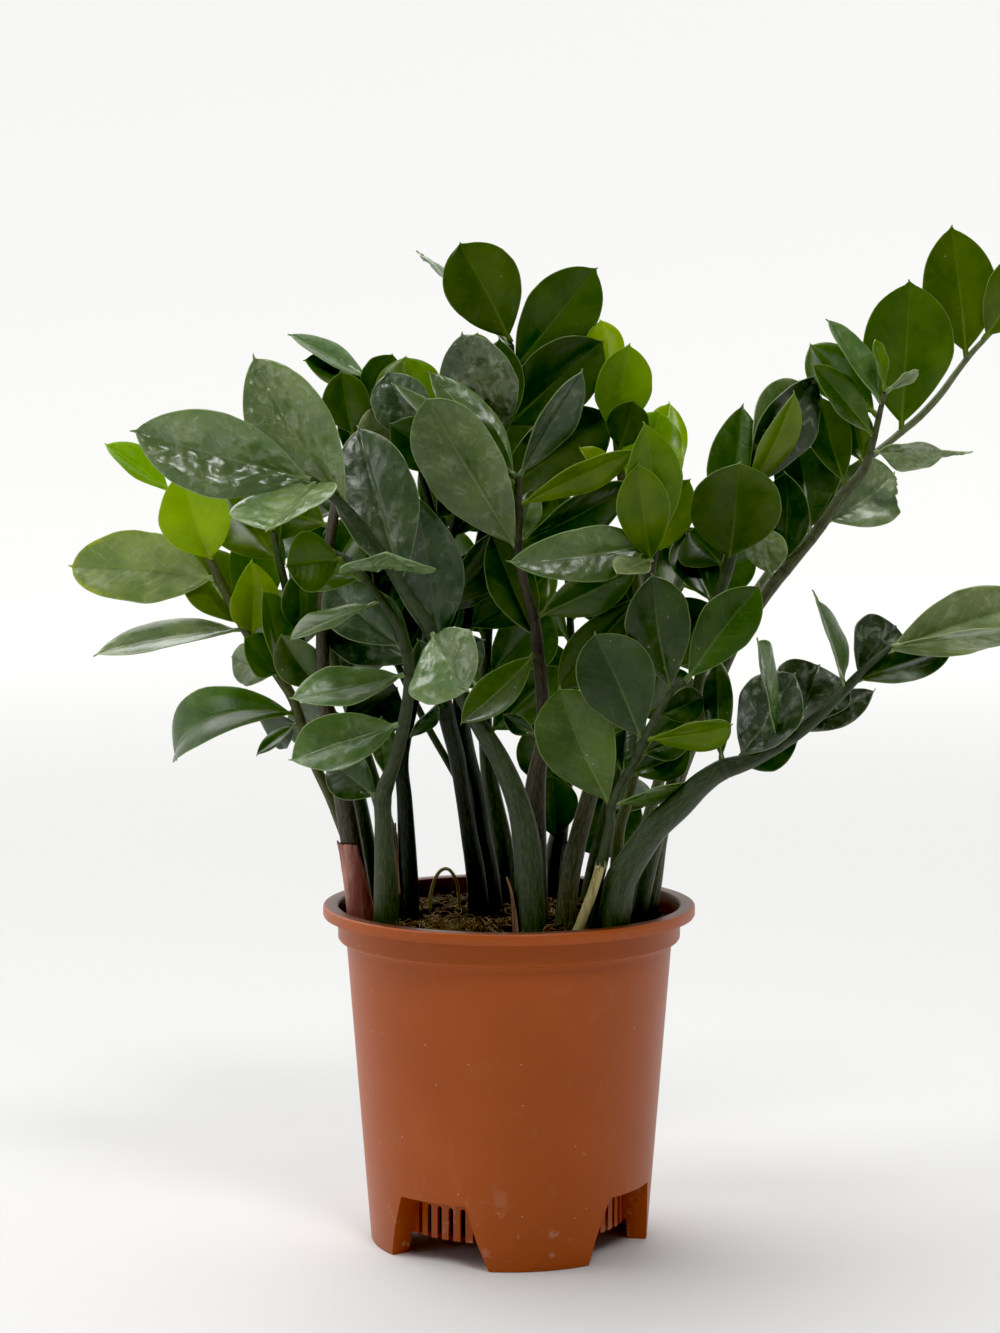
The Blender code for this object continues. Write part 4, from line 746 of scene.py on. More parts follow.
    tone = np.array(look[0]) * rng.uniform(0.86, 1.16)
    tone[0] *= rng.uniform(0.92, 1.10)
    under = np.broadcast_to(np.repeat([0, 1], cols), points.shape[:2])
    return points.reshape(-1, 3), tube_faces(len(s), 2 * cols), {
        "leaf": vectors(both_sides(v), s_row, both_sides(wide)),
        "leaf_flat": vectors(both_sides(v * wide), distance[:, None], seed),
        "under": under.ravel(), "tone": tone, "trait": np.array(look[1:])}


# ---------------------------------------------------------------- stalks
JOINT_LENGTH, JOINT_SWELLING = 2.2, 0.05


def fine_stalk(spine, joints, ribs, slim, sides=24, per_span=7, cut=False):
    """A ribbed round stalk, a little swollen and ringed where leaflets join."""
    count = (len(spine) - 1) * per_span + 1
    places = np.linspace(0, len(spine) - 1, count)
    rows = np.array([curve(spine, t) for t in places])
    length = np.concatenate([[0], np.cumsum(np.linalg.norm(np.diff(rows[:, :3], axis=0), axis=1))])
    joint_at = np.interp(joints, places, length) if len(joints) else np.array([-99.0])
    near = np.exp(-((length[:, None] - joint_at[None]) / JOINT_LENGTH) ** 2).max(1)
    angles = np.arange(sides) * TURN / sides
    cos, sin = np.cos(angles)[:, None], np.sin(angles)[:, None]
    rings, spots = [], []
    for k, (_, across, other) in enumerate(frames_along(rows[:, :3])):
        radius = max(rows[k][3], LEAST_RADIUS) * (1 + JOINT_SWELLING * near[k])
        radius *= 1 + (slim - 1) * min(k / (0.4 * count), 1)
        if k == count - 1 and not cut:
            radius *= 0.35
        turn = length[k] * 0.004
        r = radius * (1 + ribs * np.sin(9 * angles + turn) + ribs * 0.6 * np.sin(4 * angles - 2 * turn + 1))
        rings.append(rows[k, :3] + (cos * np.array(across) + sin * np.array(other)) * r[:, None])
        spots.append(np.hstack([cos, sin, np.full((sides, 1), length[k])]))
    return np.concatenate(rings), tube_faces(count, sides), np.concatenate(spots), np.repeat(near, sides)


# ---------------------------------------------------------------- material helpers
class Wire:
    """A node's output. Sums and products of wires make the nodes, so that a material reads as a formula."""

    def __init__(self, socket):
        self.socket, self.tree = socket, socket.id_data

    def math(self, operation, *others):
        return node(self.tree, "Math", dict(enumerate((self, *others))), operation=operation)

    def __mul__(self, other):
        """A product, or a tint if the other is a colour."""
        return mix(1.0, self, other, "MULTIPLY") if isinstance(other, tuple) else self.math("MULTIPLY", other)

    def __add__(self, other):
        return self.math("ADD", other)

    def __sub__(self, other):
        return self.math("SUBTRACT", other)

    def __truediv__(self, other):
        return self.math("DIVIDE", other)

    def into(self, shader, name):
        self.tree.links.new(self.socket, shader.inputs[name])


def node(tree, kind, inputs=None, output=0, **settings):
    """Makes a node and gives one of its outputs."""
    made = tree.nodes.new("ShaderNode" + kind)
    for key, value in settings.items():
        setattr(made, key, value)
    for key, value in (inputs or {}).items():
        if isinstance(value, Wire):
            value.into(made, key)
        else:
            made.inputs[key].default_value = value
    return Wire(made.outputs[output])


def split(wire):
    """The three parts of a vector."""
    first = node(wire.tree, "SeparateXYZ", {0: wire})
    return tuple(Wire(socket) for socket in first.socket.node.outputs)


def step(value, low, high, to_low=0.0, to_high=1.0):
    """A smooth step from to_low at low to to_high at high."""
    return node(value.tree, "MapRange", {0: value, 1: low, 2: high, 3: to_low, 4: to_high},
                interpolation_type="SMOOTHSTEP")


def mix(factor, a, b, blend="MIX"):
    tree = next(value for value in (factor, a, b) if isinstance(value, Wire)).tree
    a, b = (value if isinstance(value, Wire) else (*value, 1) for value in (a, b))
    return node(tree, "Mix", {0: factor, 6: a, 7: b}, 2, data_type="RGBA", blend_type=blend)


def scaled(colour, by):
    return tuple(min(by * channel, 1) for channel in colour)


def place_of(tree):
    return node(tree, "TexCoord", output="Object")


def noise_of(vector, scale, detail=3.0, roughness=0.55, distortion=0.0):
    return node(vector.tree, "TexNoise", {"Vector": vector, "Scale": scale, "Detail": detail,
                                          "Roughness": roughness, "Distortion": distortion}, "Fac")


def cells_of(vector, scale):
    return node(vector.tree, "TexVoronoi", {"Vector": vector, "Scale": scale}, "Distance")


def stretched(vector, scale):
    return node(vector.tree, "Mapping", {"Vector": vector, "Scale": scale})


def vector_math(operation, a, *others, output=0):
    return node(a.tree, "VectorMath", dict(enumerate((a, *others))), output, operation=operation)


def attribute(tree, name, output="Vector"):
    return node(tree, "Attribute", output=output, attribute_name=name)


def find(tree, kind):
    return next(made for made in tree.nodes if made.type == kind)


def new_material(name, **constants):
    mat = bpy.data.materials.new(name)
    mat.use_nodes = True
    tree = mat.node_tree
    shader = find(tree, "BSDF_PRINCIPLED")
    for key, value in constants.items():
        shader.inputs[key.replace("_", " ")].default_value = value
    return mat, tree, shader


def bump(shader, height, distance, strength):
    inputs = {"Height": height, "Distance": distance, "Strength": strength}
    node(height.tree, "Bump", inputs).into(shader, "Normal")


# ---------------------------------------------------------------- materials
def leaf_material():
    """Waxy leaf: each blade carries its own tone and traits, and its veins follow the blade."""
    mat, tree, shader = new_material("leaf", Coat_Roughness=0.25, Specular_IOR_Level=0.32)
    where = place_of(tree)
    v, s, half = split(attribute(tree, "leaf"))
    glow, sheen, age = split(attribute(tree, "trait"))
    tone = attribute(tree, "tone")
    under = attribute(tree, "under", "Fac")

    away = v.math("ABSOLUTE") * half
    from_edge = half - away
    rib = step(away / (s * -0.65 + 0.95), 0.2, 1.0, 1.0, 0.0) * (s * -0.75 + 1.0)
    margin = step(from_edge, 0.18, 0.62, 1.0, 0.0)
    cloud = noise_of(where, 60, 3, 0.6)
    wrinkle = noise_of(where, 170, 3, 0.65, 0.8)
    vein = (s * VEINS + cloud * 1.6 - away * VEIN_SLANT).math("PINGPONG", 0.5)
    vein = step(vein, 0.0, 0.07, 1.0, 0.0) * step(from_edge, 0.8, 4.0) * step(wrinkle, 0.34, 0.56)

    colour = mix(step(cloud, 0.35, 0.68), tone * (0.76, 0.82, 0.78), tone * (1.28, 1.20, 1.10))
    # painted shade and light: one half of the blade is painted darker and the other lighter, as if a fold
    # caught the light on one side
    painted_half_shading = step(v, -0.06, 0.06, 0.88, 1.12)  # one half catches more light than the other
    colour = mix(1.0, colour, node(tree, "CombineXYZ", {0: painted_half_shading, 1: painted_half_shading, 2: painted_half_shading}), "MULTIPLY")
    # painted sheen: pale patches over the wrinkles stand in for glossy highlights, stronger on sheeny leaves
    painted_sheen = sheen * step(wrinkle, 0.50, 0.64, 0.0, 0.50) * step(cloud, 0.35, 0.60)
    colour = mix(painted_sheen, colour, (0.44, 0.50, 0.36))
    colour = mix(vein * 0.38, colour, tone * (2.2, 2.1, 2.4))
    colour = mix(rib * 0.55, colour, mix(0.35, tone * (2.1, 2.0, 2.2), (0.30, 0.36, 0.12)))
    near_tip = cloud * 0.16 + s
    side_spot = step(from_edge, 3.2, 0.8) * (step(near_tip, 0.55, 0.75) * step(wrinkle, 0.45, 0.60))
    yellow = step(near_tip, 0.98, 1.06).math("MAXIMUM", side_spot)
    colour = mix(age * yellow, colour, (0.36, 0.40, 0.03))
    colour = mix(margin * 0.70, colour, mix(0.5, tone * (2.2, 2.2, 2.2), (0.36, 0.42, 0.18)))
    colour = mix(under * 0.35, colour, mix(0.4, tone * (1.6, 1.5, 2.0), (0.17, 0.22, 0.09)))
    speck = step(cells_of(where, 150.0), 0.04, 0.08, 1.0, 0.0) * step(cloud, 0.5, 0.6, 0.0, 0.5)
    mix(speck, colour, (0.55, 0.58, 0.45)).into(shader, "Base Color")
    (cloud * 0.18 + 0.20 + under * 0.16).into(shader, "Roughness")
    (sheen * 0.80 + 0.15).into(shader, "Coat Weight")
    cells = cells_of(stretched(attribute(tree, "leaf_flat"), (1.0, 0.55, 1.0)), 0.22)
    bump(shader, wrinkle * (sheen * 0.90 + 0.20) + cells * (sheen * 0.9), 0.0008, 0.6)

    through = mix(rib * 0.4, tone * (3.2, 3.1, 0.4), (0.50, 0.66, 0.06))
    back = node(tree, "BsdfTranslucent", {"Color": through})
    both = node(tree, "MixShader", {0: glow * 0.34 + 0.06, 1: Wire(shader.outputs[0]), 2: back})
    both.into(find(tree, "OUTPUT_MATERIAL"), "Surface")
    return mat


def stalk_material(name, colour, streak):
    """Fleshy stalk with fine lengthwise streaks, pale dashes and darker rings at the joints."""
    mat, tree, shader = new_material(name, Specular_IOR_Level=0.45)
    cos, sin, along = split(attribute(tree, "stalk"))
    joint = attribute(tree, "joint", "Fac")
    long, short = (node(tree, "CombineXYZ", {0: cos, 1: sin, 2: along * scale}) for scale in (0.03, 0.16))
    lines = noise_of(long, 7.0, 4, 0.6)
    dashes = noise_of(short, 9.0, 2, 0.5)
    cloud = noise_of(place_of(tree), 45)
    tint = mix(step(cloud, 0.3, 0.7), scaled(colour, 0.72), colour)
    tint = mix(step(lines, 0.42, 0.66), tint, streak)
    tint = mix(step(dashes, 0.62, 0.72, 0.0, 0.6), tint, scaled(streak, 1.6))
    tint = mix(step(dashes, 0.36, 0.28, 0.0, 0.5), tint, scaled(colour, 0.4))
    mix(step(joint, 0.5, 1.0, 0.0, 0.55), tint, scaled(colour, 0.45)).into(shader, "Base Color")
    (lines * 0.25 + 0.34).into(shader, "Roughness")
    bump(shader, lines + dashes * 0.4, 0.0005, 0.6)
    return mat


def pot_material():
    """Moulded terracotta plastic with faint flow clouds, drips and dusty scuffs; its inside above the soil is
    painted dark brown.
    """
    mat, tree, shader = new_material("pot_plastic", Specular_IOR_Level=0.30, Coat_Weight=0.0)
    where = place_of(tree)
    height = split(where)[2]
    cloud = noise_of(where, 14, 4, 0.55)
    grain = noise_of(where, 900, 2)
    colour = mix(step(cloud, 0.3, 0.7), (0.335, 0.072, 0.012), (0.380, 0.084, 0.016))
    drips = noise_of(stretched(where, (1, 1, 0.12)), 120, 2, 0.5)
    colour = mix(step(drips, 0.68, 0.78, 0.0, 0.07), colour, (0.52, 0.22, 0.12))
    scuff = noise_of(where, 75, 6, 0.72, 0.3)
    rub = step(scuff, 0.56, 0.68) * (step(height, 0.045, 0.0) * 0.5 + 0.05)
    colour = mix(rub, colour, (0.55, 0.33, 0.22))
    colour = mix(step(cells_of(where, 120.0), 0.035, 0.06, 0.45, 0.0), colour, (0.62, 0.42, 0.30))
    # Faces above the soil that turn in towards the pot's middle, and the rim's top, are painted dark brown.
    top_middle = Vector(metre((0, 0, POT_HEIGHT)))
    outward = vector_math("NORMALIZE", vector_math("SUBTRACT", where, top_middle))
    facing = vector_math("DOT_PRODUCT", outward, node(tree, "NewGeometry", output="Normal"), output=1)
    above_soil = step(height, SOIL_TOP * MM, (SOIL_TOP + 3) * MM)
    inside = step(facing, 0.60, -0.10, 0.0, 0.9) * above_soil
    mix(inside, colour, (0.060, 0.026, 0.012)).into(shader, "Base Color")
    (cloud * 0.16 + 0.32 + rub * 0.35).into(shader, "Roughness")
    bump(shader, grain * 0.35 + scuff, 0.0002, 0.35)
    return mat


def rough_material(name, dark, light, scale, depth, roughness, specular, stretch=(1, 1, 1)):
    """A dull, mottled material for compost, moss and dry papery parts."""
    mat, tree, shader = new_material(name, Specular_IOR_Level=specular)
    where = stretched(place_of(tree), stretch)
    coarse = noise_of(where, scale, 5, 0.65)
    fine = noise_of(where, scale * 6, 3, 0.6)
    colour = mix(step(coarse, 0.35, 0.68), dark, light)
    mix(step(fine, 0.6, 0.75, 0.0, 0.4), colour, scaled(light, 1.8)).into(shader, "Base Color")
    (fine * 0.2 + (roughness - 0.12)).into(shader, "Roughness")
    bump(shader, coarse + fine * 0.4, depth, 0.8)
    return mat


# ---------------------------------------------------------------- pieces
def build_leaves(settled, mat):
    for (name, colour, spine, _), rows in zip(FRONDS, settled):
        rng = random.Random(name)
        looks = LEAF_LOOKS[name].split()
        close = name in CLOSE_FRONDS
        bunch = Bunch()
        for k, row in enumerate(rows):
            kind = looks[min(k, len(looks) - 1)]
            crinkle = CRINKLES.get(kind, 0)
            grid_size = CLOSE_GRID if close or crinkle else FAR_GRID
            if row[4] > LONG_LEAF and close or kind == "silver":
                grid_size = FINE_GRID
            points, faces, values = fine_leaf(spine, row, LOOKS[kind], grid_size, rng, crinkle,
                                              SHAPES.get(name, {}).get(k, {}))
            bunch.add(points, faces, **values)
        bunch.make(name + "_leaves", mat, colour, replaces=(name,))


def build_stalks(settled):
    mats = {key: stalk_material("stalk_" + key, look[0], look[1]) for key, look in STALK_LOOKS.items()}
    for (name, colour, spine, _), rows in zip(FRONDS, settled):
        joints = sorted(row[0] for row in rows)
        tint = STALK_TINTS.get(name, colour)
        points, faces, spots, near = fine_stalk(spine, joints, STALK_LOOKS[tint][2], SLIM.get(name, 1.0))
        piece(name + "_stalk", points, faces, mats[tint], colour, attributes={"stalk": spots, "joint": near})


def build_small_pieces():
    mats = {slot: rough_material(*look) for slot, look in ROUGH_LOOKS.items()}
    for name, colour, *where in SHEATHS:
        piece(name + "_paper", *clasp(name, *where), mats[colour], colour, replaces=(name,))
    for name, colour, spine in TWIGS:
        bunch = Bunch()
        points, faces, _, _ = fine_stalk(spine, [], 0.03, TWIG_SLIM, 20, 8, cut=True)
        bunch.add(points, faces)
        if name == "cut_stub":
            frayed_top(bunch, spine)
        bunch.make(name + "_fibre", mats[colour], colour, replaces=(name,))
    for k, row in enumerate(TUFTS):
        build_tuft(k, row, mats["moss"])


def clasp(name, frond, low, high, middle, half_low, half_high, flare, rows=26, steps=28):
    """A thin curved strip that follows a stalk, with a torn upper edge."""
    spine = next(row[2] for row in FRONDS if row[0] == frond)
    seed = random.Random(name).uniform(0, 50)
    rings = []
    for k in range(rows):
        ring = []
        share = k / (rows - 1)
        half = half_low + (half_high - half_low) * share
        for outer, order in ((1, range(steps + 1)), (0, range(steps, -1, -1))):
            for i in order:
                torn = noise.noise((i * 0.35, seed, 0)) * 0.10 * share
                x, y, z, radius = curve(spine, low + (high - low) * (share + torn))
                a = math.radians(middle - half + 2 * half * i / steps)
                ripple = 0.12 * math.sin(i * 1.9 + seed) + 0.25 * noise.noise((i * 0.4, k * 0.3, seed))
                inner = radius + 2 * GAP + flare * share * share + ripple * share
                distance = inner + outer * (0.5 - 0.2 * share)
                ring.append((x + distance * math.cos(a), y + distance * math.sin(a), z))
        rings.append(ring)
    return loft(rings)


def frayed_top(bunch, spine, count=16):
    """Loose fibres that stand up from a cut stalk."""
    rng = random.Random(5)
    x, y, z, radius = spine[-1]
    for k in range(count):
        a = TURN * k / count + rng.uniform(-0.2, 0.2)
        r, tall = radius * rng.uniform(0.45, 0.95), rng.uniform(1.0, 4.5)
        base = [(x + r * math.cos(a) + 0.35 * math.cos(b), y + r * math.sin(a) + 0.35 * math.sin(b), z - 1.0)
                for b in (0, 2.1, 4.2)]
        tip = (x + r * 1.15 * math.cos(a), y + r * 1.15 * math.sin(a), z + tall - 1.0)
        bunch.add(base + [tip], [(2, 1, 0), (0, 1, 3), (1, 2, 3), (2, 0, 3)])


def fibre(bunch, points, radius, sides=4):
    """A thin tube through a few points."""
    rings = [ring_around(*line, radius * (1 - 0.5 * k / len(points)), sides)
             for k, line in enumerate(frames_along(points, (0.6, 0.8, 0)))]
    bunch.add(*loft(rings))


def build_tuft(seed, row, mat):
    """Tangled fibres over a dark lumpy core."""
    name, x, y, long_half, short_half, height = row
    rng = random.Random(seed + 11)
    bunch = Bunch()
    corners, faces = ball(4)
    core = []
    for co in corners:
        lump = 0.80 + 0.22 * noise.noise(co * 2.2 + Vector((seed * 7, 0, 0)))
        core.append((x + long_half * lump * co.x, y + short_half * lump * co.y,
                     SOIL_TOP - 1 + height * 0.9 * lump * co.z))
    bunch.add(core, faces)
    for _ in range(int(26 * long_half)):
        a, up = rng.uniform(0, TURN), rng.uniform(0.1, 0.95)
        out = math.sqrt(1 - up * up * 0.9)
        p = Vector((x + long_half * 0.86 * out * math.cos(a), y + short_half * 0.86 * out * math.sin(a),
                    SOIL_TOP - 1 + height * 0.8 * up))
        way = random_way(rng, -0.3, 0.6).normalized()
        line = []
        for _ in range(6):
            line.append(tuple(p))
            way = (way + random_way(rng, -1, 0.8) * 0.55).normalized()
            p = p + way * rng.uniform(0.7, 1.5)
        fibre(bunch, line, rng.uniform(0.14, 0.32))
    bunch.make(name + "_fibres", mat, "moss", replaces=(name,))


def random_way(rng, lowest, highest):
    return Vector((rng.uniform(-1, 1), rng.uniform(-1, 1), rng.uniform(lowest, highest)))


def pot_profile():
    """Radius and height along the outside, over the rim and down the inside."""
    band_inner, r = BAND_RADIUS - WALL, RIM_ROUND
    return ([(0, 0), (40, 0), (FOOT_RADIUS - 0.7, 0), (FOOT_RADIUS - 0.2, 0.2), (FOOT_RADIUS + 0.04, 0.8)]
            + [(wall_radius(z), z) for z in (20, 40, 60, 80, 100, 120, 136)]
            + [(SHOULDER_RADIUS - 0.1, 137.6), (SHOULDER_RADIUS + 0.4, 138.5),
               (BAND_RADIUS - 1.4, BAND_BOTTOM - 0.1), (BAND_RADIUS - 0.5, BAND_BOTTOM + 0.25),
               (BAND_RADIUS, BAND_BOTTOM + 1.0), (BAND_RADIUS + 0.1, 145),
               (BAND_RADIUS + 0.25, BAND_TOP - 0.7), (BAND_RADIUS + 0.9, BAND_TOP - 0.1),
               (RIM_RADIUS - 1.2, BAND_TOP), (RIM_RADIUS - 0.4, BAND_TOP + 0.25),
               (RIM_RADIUS, BAND_TOP + 1.0)]
            + [(RIM_RADIUS - r + r * math.cos(a), POT_HEIGHT - r + r * math.sin(a))
               for a in (0, 0.4, 0.8, 1.2, 1.57)]
            + [(RIM_INNER + r - r * math.sin(a), POT_HEIGHT - r + r * math.cos(a))
               for a in (0, 0.5, 1.0, 1.57)]
            + [(band_inner, BAND_TOP - 1.5), (band_inner, BAND_BOTTOM + 2.0), (SHOULDER_RADIUS - WALL, 137.5),
               (wall_radius(60) - WALL, 60), (wall_radius(FLOOR + WALL) - WALL, FLOOR + WALL),
               (40, FLOOR + WALL), (0, FLOOR + WALL)])


def build_pot(mat):
    """The moulded pot with rounded rim, band, slotted alcoves and four feet."""
    pot = piece("pot_shell", *revolve(pot_profile(), POT_SIDES), mat, "terracotta", replaces=("pot",))
    recess = ((0, -1), (FOOT_INNER, -1), (FOOT_INNER, FLOOR), (0, FLOOR))
    side = math.degrees(WALL / ALCOVE_RADIUS)
    over, pocket_top = ALCOVE_TOP + WALL, FLOOR + POCKET_DEPTH
    liners, cut = [], [helper(*revolve(recess, POT_SIDES))]
    for k in range(FEET):
        foot = FIRST_FOOT + FOOT_PITCH * k
        gap = foot + FOOT_PITCH / 2
        liners.append(helper(*wedge(gap, half_width(FLOOR) + side, half_width(over) + side,
                                    ALCOVE_RADIUS - WALL, wall_radius(FLOOR) - 0.8, wall_radius(over) - 0.8,
                                    FLOOR + 0.2, over)))
        cut.append(helper(*wedge(gap, half_width(BELOW), half_width(ALCOVE_TOP), ALCOVE_RADIUS, OUTSIDE,
                                 OUTSIDE, BELOW, ALCOVE_TOP)))
        cut.append(helper(*wedge(foot, FOOT_PITCH / 2 - ALCOVE_HALF_BOTTOM - side,
                                 FOOT_PITCH / 2 - half_width(pocket_top) - side, FOOT_INNER + WALL,
                                 FOOT_RADIUS - WALL, wall_radius(pocket_top) - WALL - 0.3, WALL, pocket_top)))
        cut += [slot_cutter(math.radians(gap) + (slot - (SLOTS - 1) / 2) * SLOT_PITCH / ALCOVE_RADIUS)
                for slot in range(SLOTS)]
    combine(pot, liners, "UNION")
    combine(pot, cut, "DIFFERENCE")
    pot.data.shade_smooth()
    pot.data.set_sharp_from_angle(angle=math.radians(SHARP_EDGE))
    soften = pot.modifiers.new("soften", "BEVEL")
    soften.width, soften.segments, soften.limit_method = SOFT_WIDTH * MM, 2, "ANGLE"
    soften.angle_limit = math.radians(SOFT_EDGE)
    soften.use_clamp_overlap = True


def face_outward(mesh):
    """Turns every face outward, as a Boolean needs."""
    solid = bmesh.new()
    solid.from_mesh(mesh)
    bmesh.ops.recalc_face_normals(solid, faces=solid.faces)
    solid.to_mesh(mesh)
    solid.free()


def helper(points, faces):
    """A hidden mesh that a Boolean reads and that is then removed."""
    mesh = new_mesh("helper", metre(points).tolist(), faces)
    face_outward(mesh)
    return bpy.data.objects.new("helper", mesh)


def combine(obj, helpers, operation):
    """Applies an exact Boolean with every helper, then removes the helpers."""
    face_outward(obj.data)
    group = bpy.data.collections.new("helpers")
    bpy.context.scene.collection.children.link(group)
    for other in helpers:
        group.objects.link(other)
    modifier = obj.modifiers.new("boolean", "BOOLEAN")
    modifier.operation, modifier.solver = operation, "EXACT"
    modifier.operand_type, modifier.collection = "COLLECTION", group
    bpy.context.view_layer.update()
    graph = bpy.context.evaluated_depsgraph_get()
    mesh = bpy.data.meshes.new_from_object(obj.evaluated_get(graph), depsgraph=graph)
    mat = obj.data.materials[0]
    obj.modifiers.clear()
    obj.data = mesh
    mesh.materials.clear()
    mesh.materials.append(mat)
    mesh.polygons.foreach_set("material_index", [0] * len(mesh.polygons))
    for other in helpers:
        bpy.data.objects.remove(other, do_unlink=True)
    bpy.data.collections.remove(group)


def slot_cutter(angle):
    """A tall narrow block with a round top, standing across the alcove's back wall."""
    w = SLOT_WIDTH / 2
    arc = [(w * math.cos(a), SLOT_TOP - w + w * math.sin(a)) for a in (math.pi * k / 8 for k in range(9))]
    sides = [(-w, FLOOR - 3), (w, FLOOR - 3)] + arc
    out = Vector(around(angle, 1))
    across = Vector((math.cos(angle), math.sin(angle), 0))
    rings = [[out * radius + across * s + Vector((0, 0, z)) for s, z in sides]
             for radius in (ALCOVE_RADIUS - 4.5, ALCOVE_RADIUS + 2.5)]
    return helper(*loft(rings))


def build_soil(mat):
    """A crumbly layer and loose clods on the compost."""
    for name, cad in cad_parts.items():
        if name.startswith("soil"):
            cad.data.materials.clear()
            cad.data.materials.append(mat)
    rng = random.Random(SEED)
    edge = BAND_RADIUS - WALL - GAP
    points = [(0, 0, soil_height(0, 0))]
    for k in range(1, SOIL_RINGS + 1):
        points += [(x, y, soil_height(x, y)) for x, y, _ in circle(edge * k / SOIL_RINGS, 0, SOIL_SIDES)]
    points += [(x, y, SOIL_TOP - 4) for x, y, _ in points[-SOIL_SIDES:]]
    faces = disc_faces(SOIL_RINGS + 1, SOIL_SIDES)
    faces.append(tuple(1 + SOIL_RINGS * SOIL_SIDES + i for i in reversed(range(SOIL_SIDES))))
    piece("soil_crust", points, faces, mat, "soil")
    corners, shell = ball(2)
    bunch = Bunch()
    for _ in range(CLODS):
        a, reach = rng.uniform(0, TURN), edge * math.sqrt(rng.random()) * 0.97
        x, y, _ = around(a, reach)
        size = min(rng.expovariate(1.2) + 0.5, 3.0, edge - reach)
        offset = Vector((rng.uniform(0, 90), 0, 0))
        flat = rng.uniform(0.55, 0.9)
        clod = []
        for co in corners:
            r = size * (1 + 0.35 * noise.noise(co * 1.7 + offset))
            clod.append((x + co.x * r, y + co.y * r, soil_height(x, y) + size * 0.25 + co.z * r * flat))
        bunch.add(clod, shell)
    bunch.make("soil_clods", mat, "soil")


def soil_height(x, y):
    """Height of the crumbly surface, which falls off towards the pot's wall."""
    big = noise.noise((x * 0.05, y * 0.05, 3.0)) * 1.6
    lumps = abs(noise.noise((x * 0.22, y * 0.22, 7.0))) * 2.6
    crumbs = abs(noise.noise((x * 0.7, y * 0.7, 1.0))) * 1.1
    return SOIL_TOP + 1.9 + big * 0.5 + lumps + crumbs - max(0, math.hypot(x, y) - 66) * 0.10


def build_fibres(mat):
    """Old roots that lie on the compost."""
    rng = random.Random(SEED + 1)
    bunch = Bunch()
    for _ in range(ROOTS):
        x, y, _ = around(rng.uniform(0, TURN), ROOT_START * math.sqrt(rng.random()))
        way, line = rng.uniform(0, 6.28), []
        for _ in range(ROOT_STEPS):
            if math.hypot(x, y) > ROOT_LIMIT:
                break
            off_x, off_y = (x - HEAP[0]) / HEAP_HALF[0], (y - HEAP[1]) / HEAP_HALF[1]
            heap = HEAP_HEIGHT * math.exp(-off_x ** 2 - off_y ** 2)
            line.append((x, y, soil_height(x, y) + rng.uniform(0.2, 1.6) + heap * rng.uniform(0.3, 1.0)))
            way += rng.uniform(-0.6, 0.6)
            x, y = x + math.cos(way) * ROOT_STEP, y + math.sin(way) * ROOT_STEP
        if len(line) > 2:
            fibre(bunch, line, rng.uniform(0.18, 0.42), 5)
    bunch.make("root_fibres", mat, "straw")


# ---------------------------------------------------------------- stage, in metres
SWEEP_FLAT, SWEEP_BEND, SWEEP_SIDES = 3.2, 2.0, 96  # radius of the floor, and of its curve up to the wall
BACKDROP = (-0.30, 0.50, 0.81)  # the sky is brightest up behind the plant
# A lamp is (name, place, side of its square, watts, colour). All face the middle of the plant.
LAMPS = (
    ("key", (-2.1, -0.3, 3.3), 1.0, 31, (1.0, 0.995, 0.985)),
    ("window", (0.7, -2.2, 3.4), 0.9, 50, (1.0, 1.0, 1.0)),
    ("side", (-2.6, -1.3, 0.9), 0.8, 8, (0.92, 0.97, 1.0)),
)
LAMP_TARGET = (0, 0, 0.25)
CAMERA_AT = (0, -1400, 389.5)  # mm from the pot
CAMERA_TILT = 5.15  # degrees down
LENS, SENSOR, SHIFT_X = 83.48, 36, -0.0068
BLACK_LEVEL = 0.011  # a photograph crushes its deepest shadows


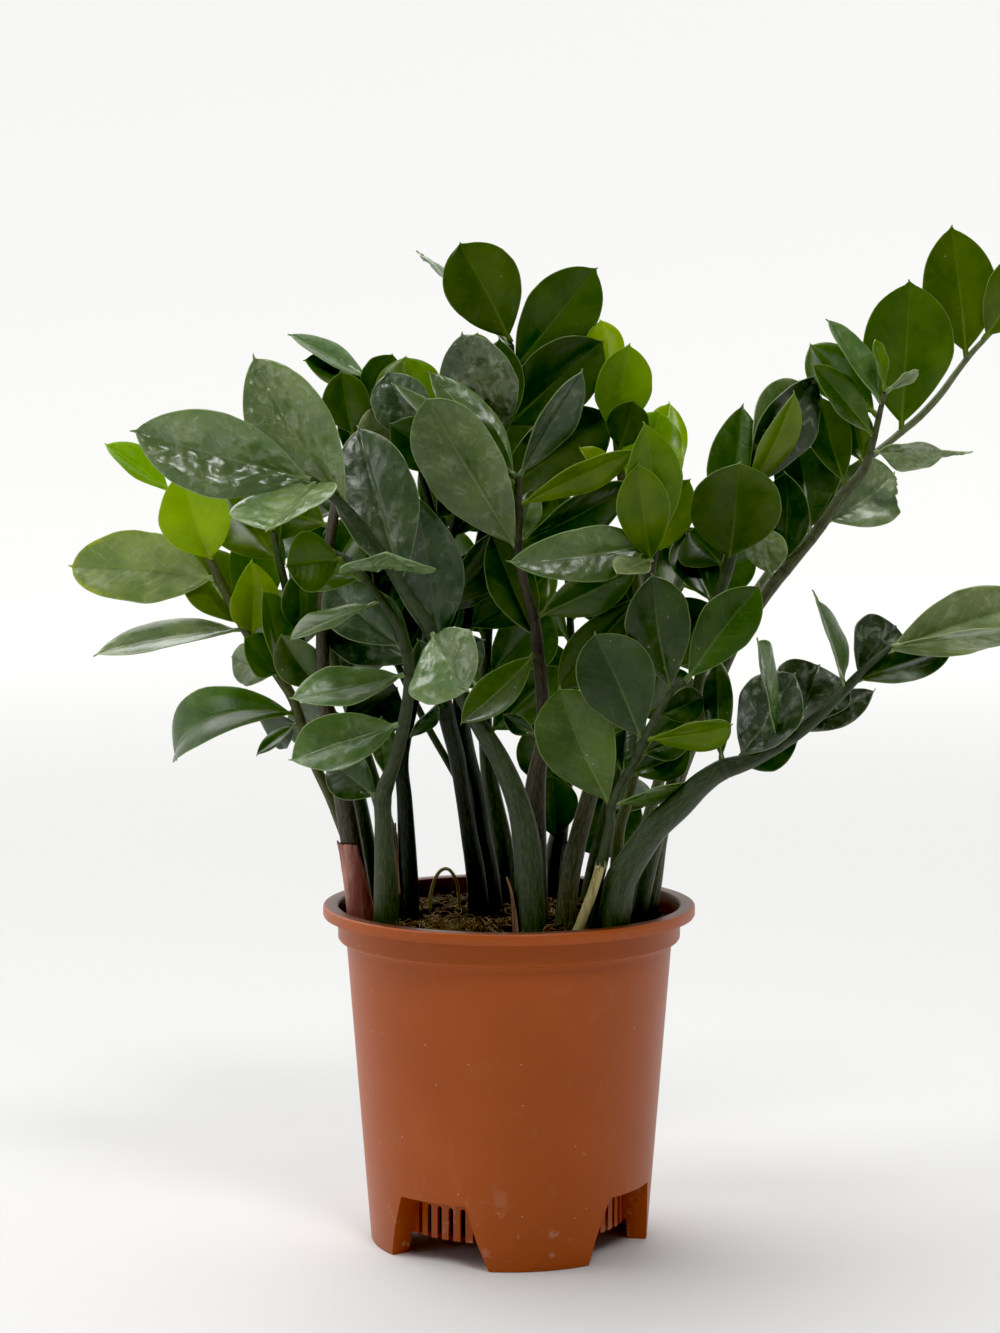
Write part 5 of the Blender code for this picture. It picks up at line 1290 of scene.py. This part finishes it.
def build_floor():
    """A pale floor that curves up all round, painted darker towards the camera as shade, and bright where it
    stands behind the plant.
    """
    mat, tree, shader = new_material("paper_floor", Roughness=0.85, Specular_IOR_Level=0.15,
                                     Emission_Color=(1.0, 1.0, 0.985, 1))
    where = place_of(tree)
    ahead = split(where)[1]
    wall = step(vector_math("LENGTH", where, output=1), 0.8, 3.6) * step(ahead, -1.2, 0.6)
    # painted shade: the floor is darker towards the camera, so that less light bounces up into the front of
    # the plant
    near = mix(step(ahead, -1.3, -0.25), (0.30, 0.30, 0.30), (0.62, 0.62, 0.615))
    mix(wall, near, (0.15, 0.15, 0.15)).into(shader, "Base Color")
    (wall * 0.84).into(shader, "Emission Strength")
    profile = [(radius, 0.0) for radius in (0.5, 1.0, 1.6, 2.4, SWEEP_FLAT)]
    profile += [(SWEEP_FLAT + SWEEP_BEND * math.sin(a), SWEEP_BEND - SWEEP_BEND * math.cos(a))
                for a in (math.pi / 2 * k / 16 for k in range(1, 17))]
    points = [(0, 0, 0)]
    for radius, height in profile:
        points += circle(radius, height, SWEEP_SIDES)
    mesh = new_mesh("sweep", points, disc_faces(len(profile), SWEEP_SIDES))
    mesh.materials.append(mat)
    mesh.shade_smooth()
    floor = show("sweep", mesh)


def build_lights():
    world = bpy.data.worlds.new("studio")
    bpy.context.scene.world = world
    world.use_nodes = True
    backdrop = find(world.node_tree, "BACKGROUND")
    way = node(world.node_tree, "TexCoord", output="Generated")
    level = vector_math("DOT_PRODUCT", way, BACKDROP, output=1)
    backdrop.inputs["Color"].default_value = (1.0, 1.0, 1.0, 1)
    glow = step(level, 0.30, 0.90, 0.045, 1.15) + step(level, 0.86, 0.90, 0.0, 2.4)
    glow.into(backdrop, "Strength")
    for name, at, size, power, colour in LAMPS:
        light = bpy.data.lights.new(name, "AREA")
        light.shape, light.size, light.energy, light.color = "SQUARE", size, power, colour
        lamp = show(name, light)
        lamp.location = at
        lamp.visible_camera = False
        lamp.rotation_euler = (Vector(LAMP_TARGET) - Vector(at)).to_track_quat("-Z", "Y").to_euler()


def build_camera():
    data = bpy.data.cameras.new("camera")
    data.lens, data.sensor_width, data.shift_x = LENS, SENSOR, SHIFT_X
    camera = show("camera", data)
    camera.location = Vector(metre(CAMERA_AT))
    camera.rotation_euler = (math.radians(90 - CAMERA_TILT), 0, 0)
    bpy.context.scene.camera = camera
    view = bpy.context.scene.view_settings
    view.view_transform, view.use_curve_mapping = "Standard", True
    view.curve_mapping.black_level = (BLACK_LEVEL,) * 3
    view.curve_mapping.update()


def main():
    settled = settle()
    build_leaves(settled, leaf_material())
    build_stalks(settled)
    build_small_pieces()
    build_pot(pot_material())
    build_soil(rough_material(*COMPOST_LOOK))
    build_fibres(rough_material(*ROOT_LOOK))
    build_floor()
    build_lights()
    build_camera()


main()
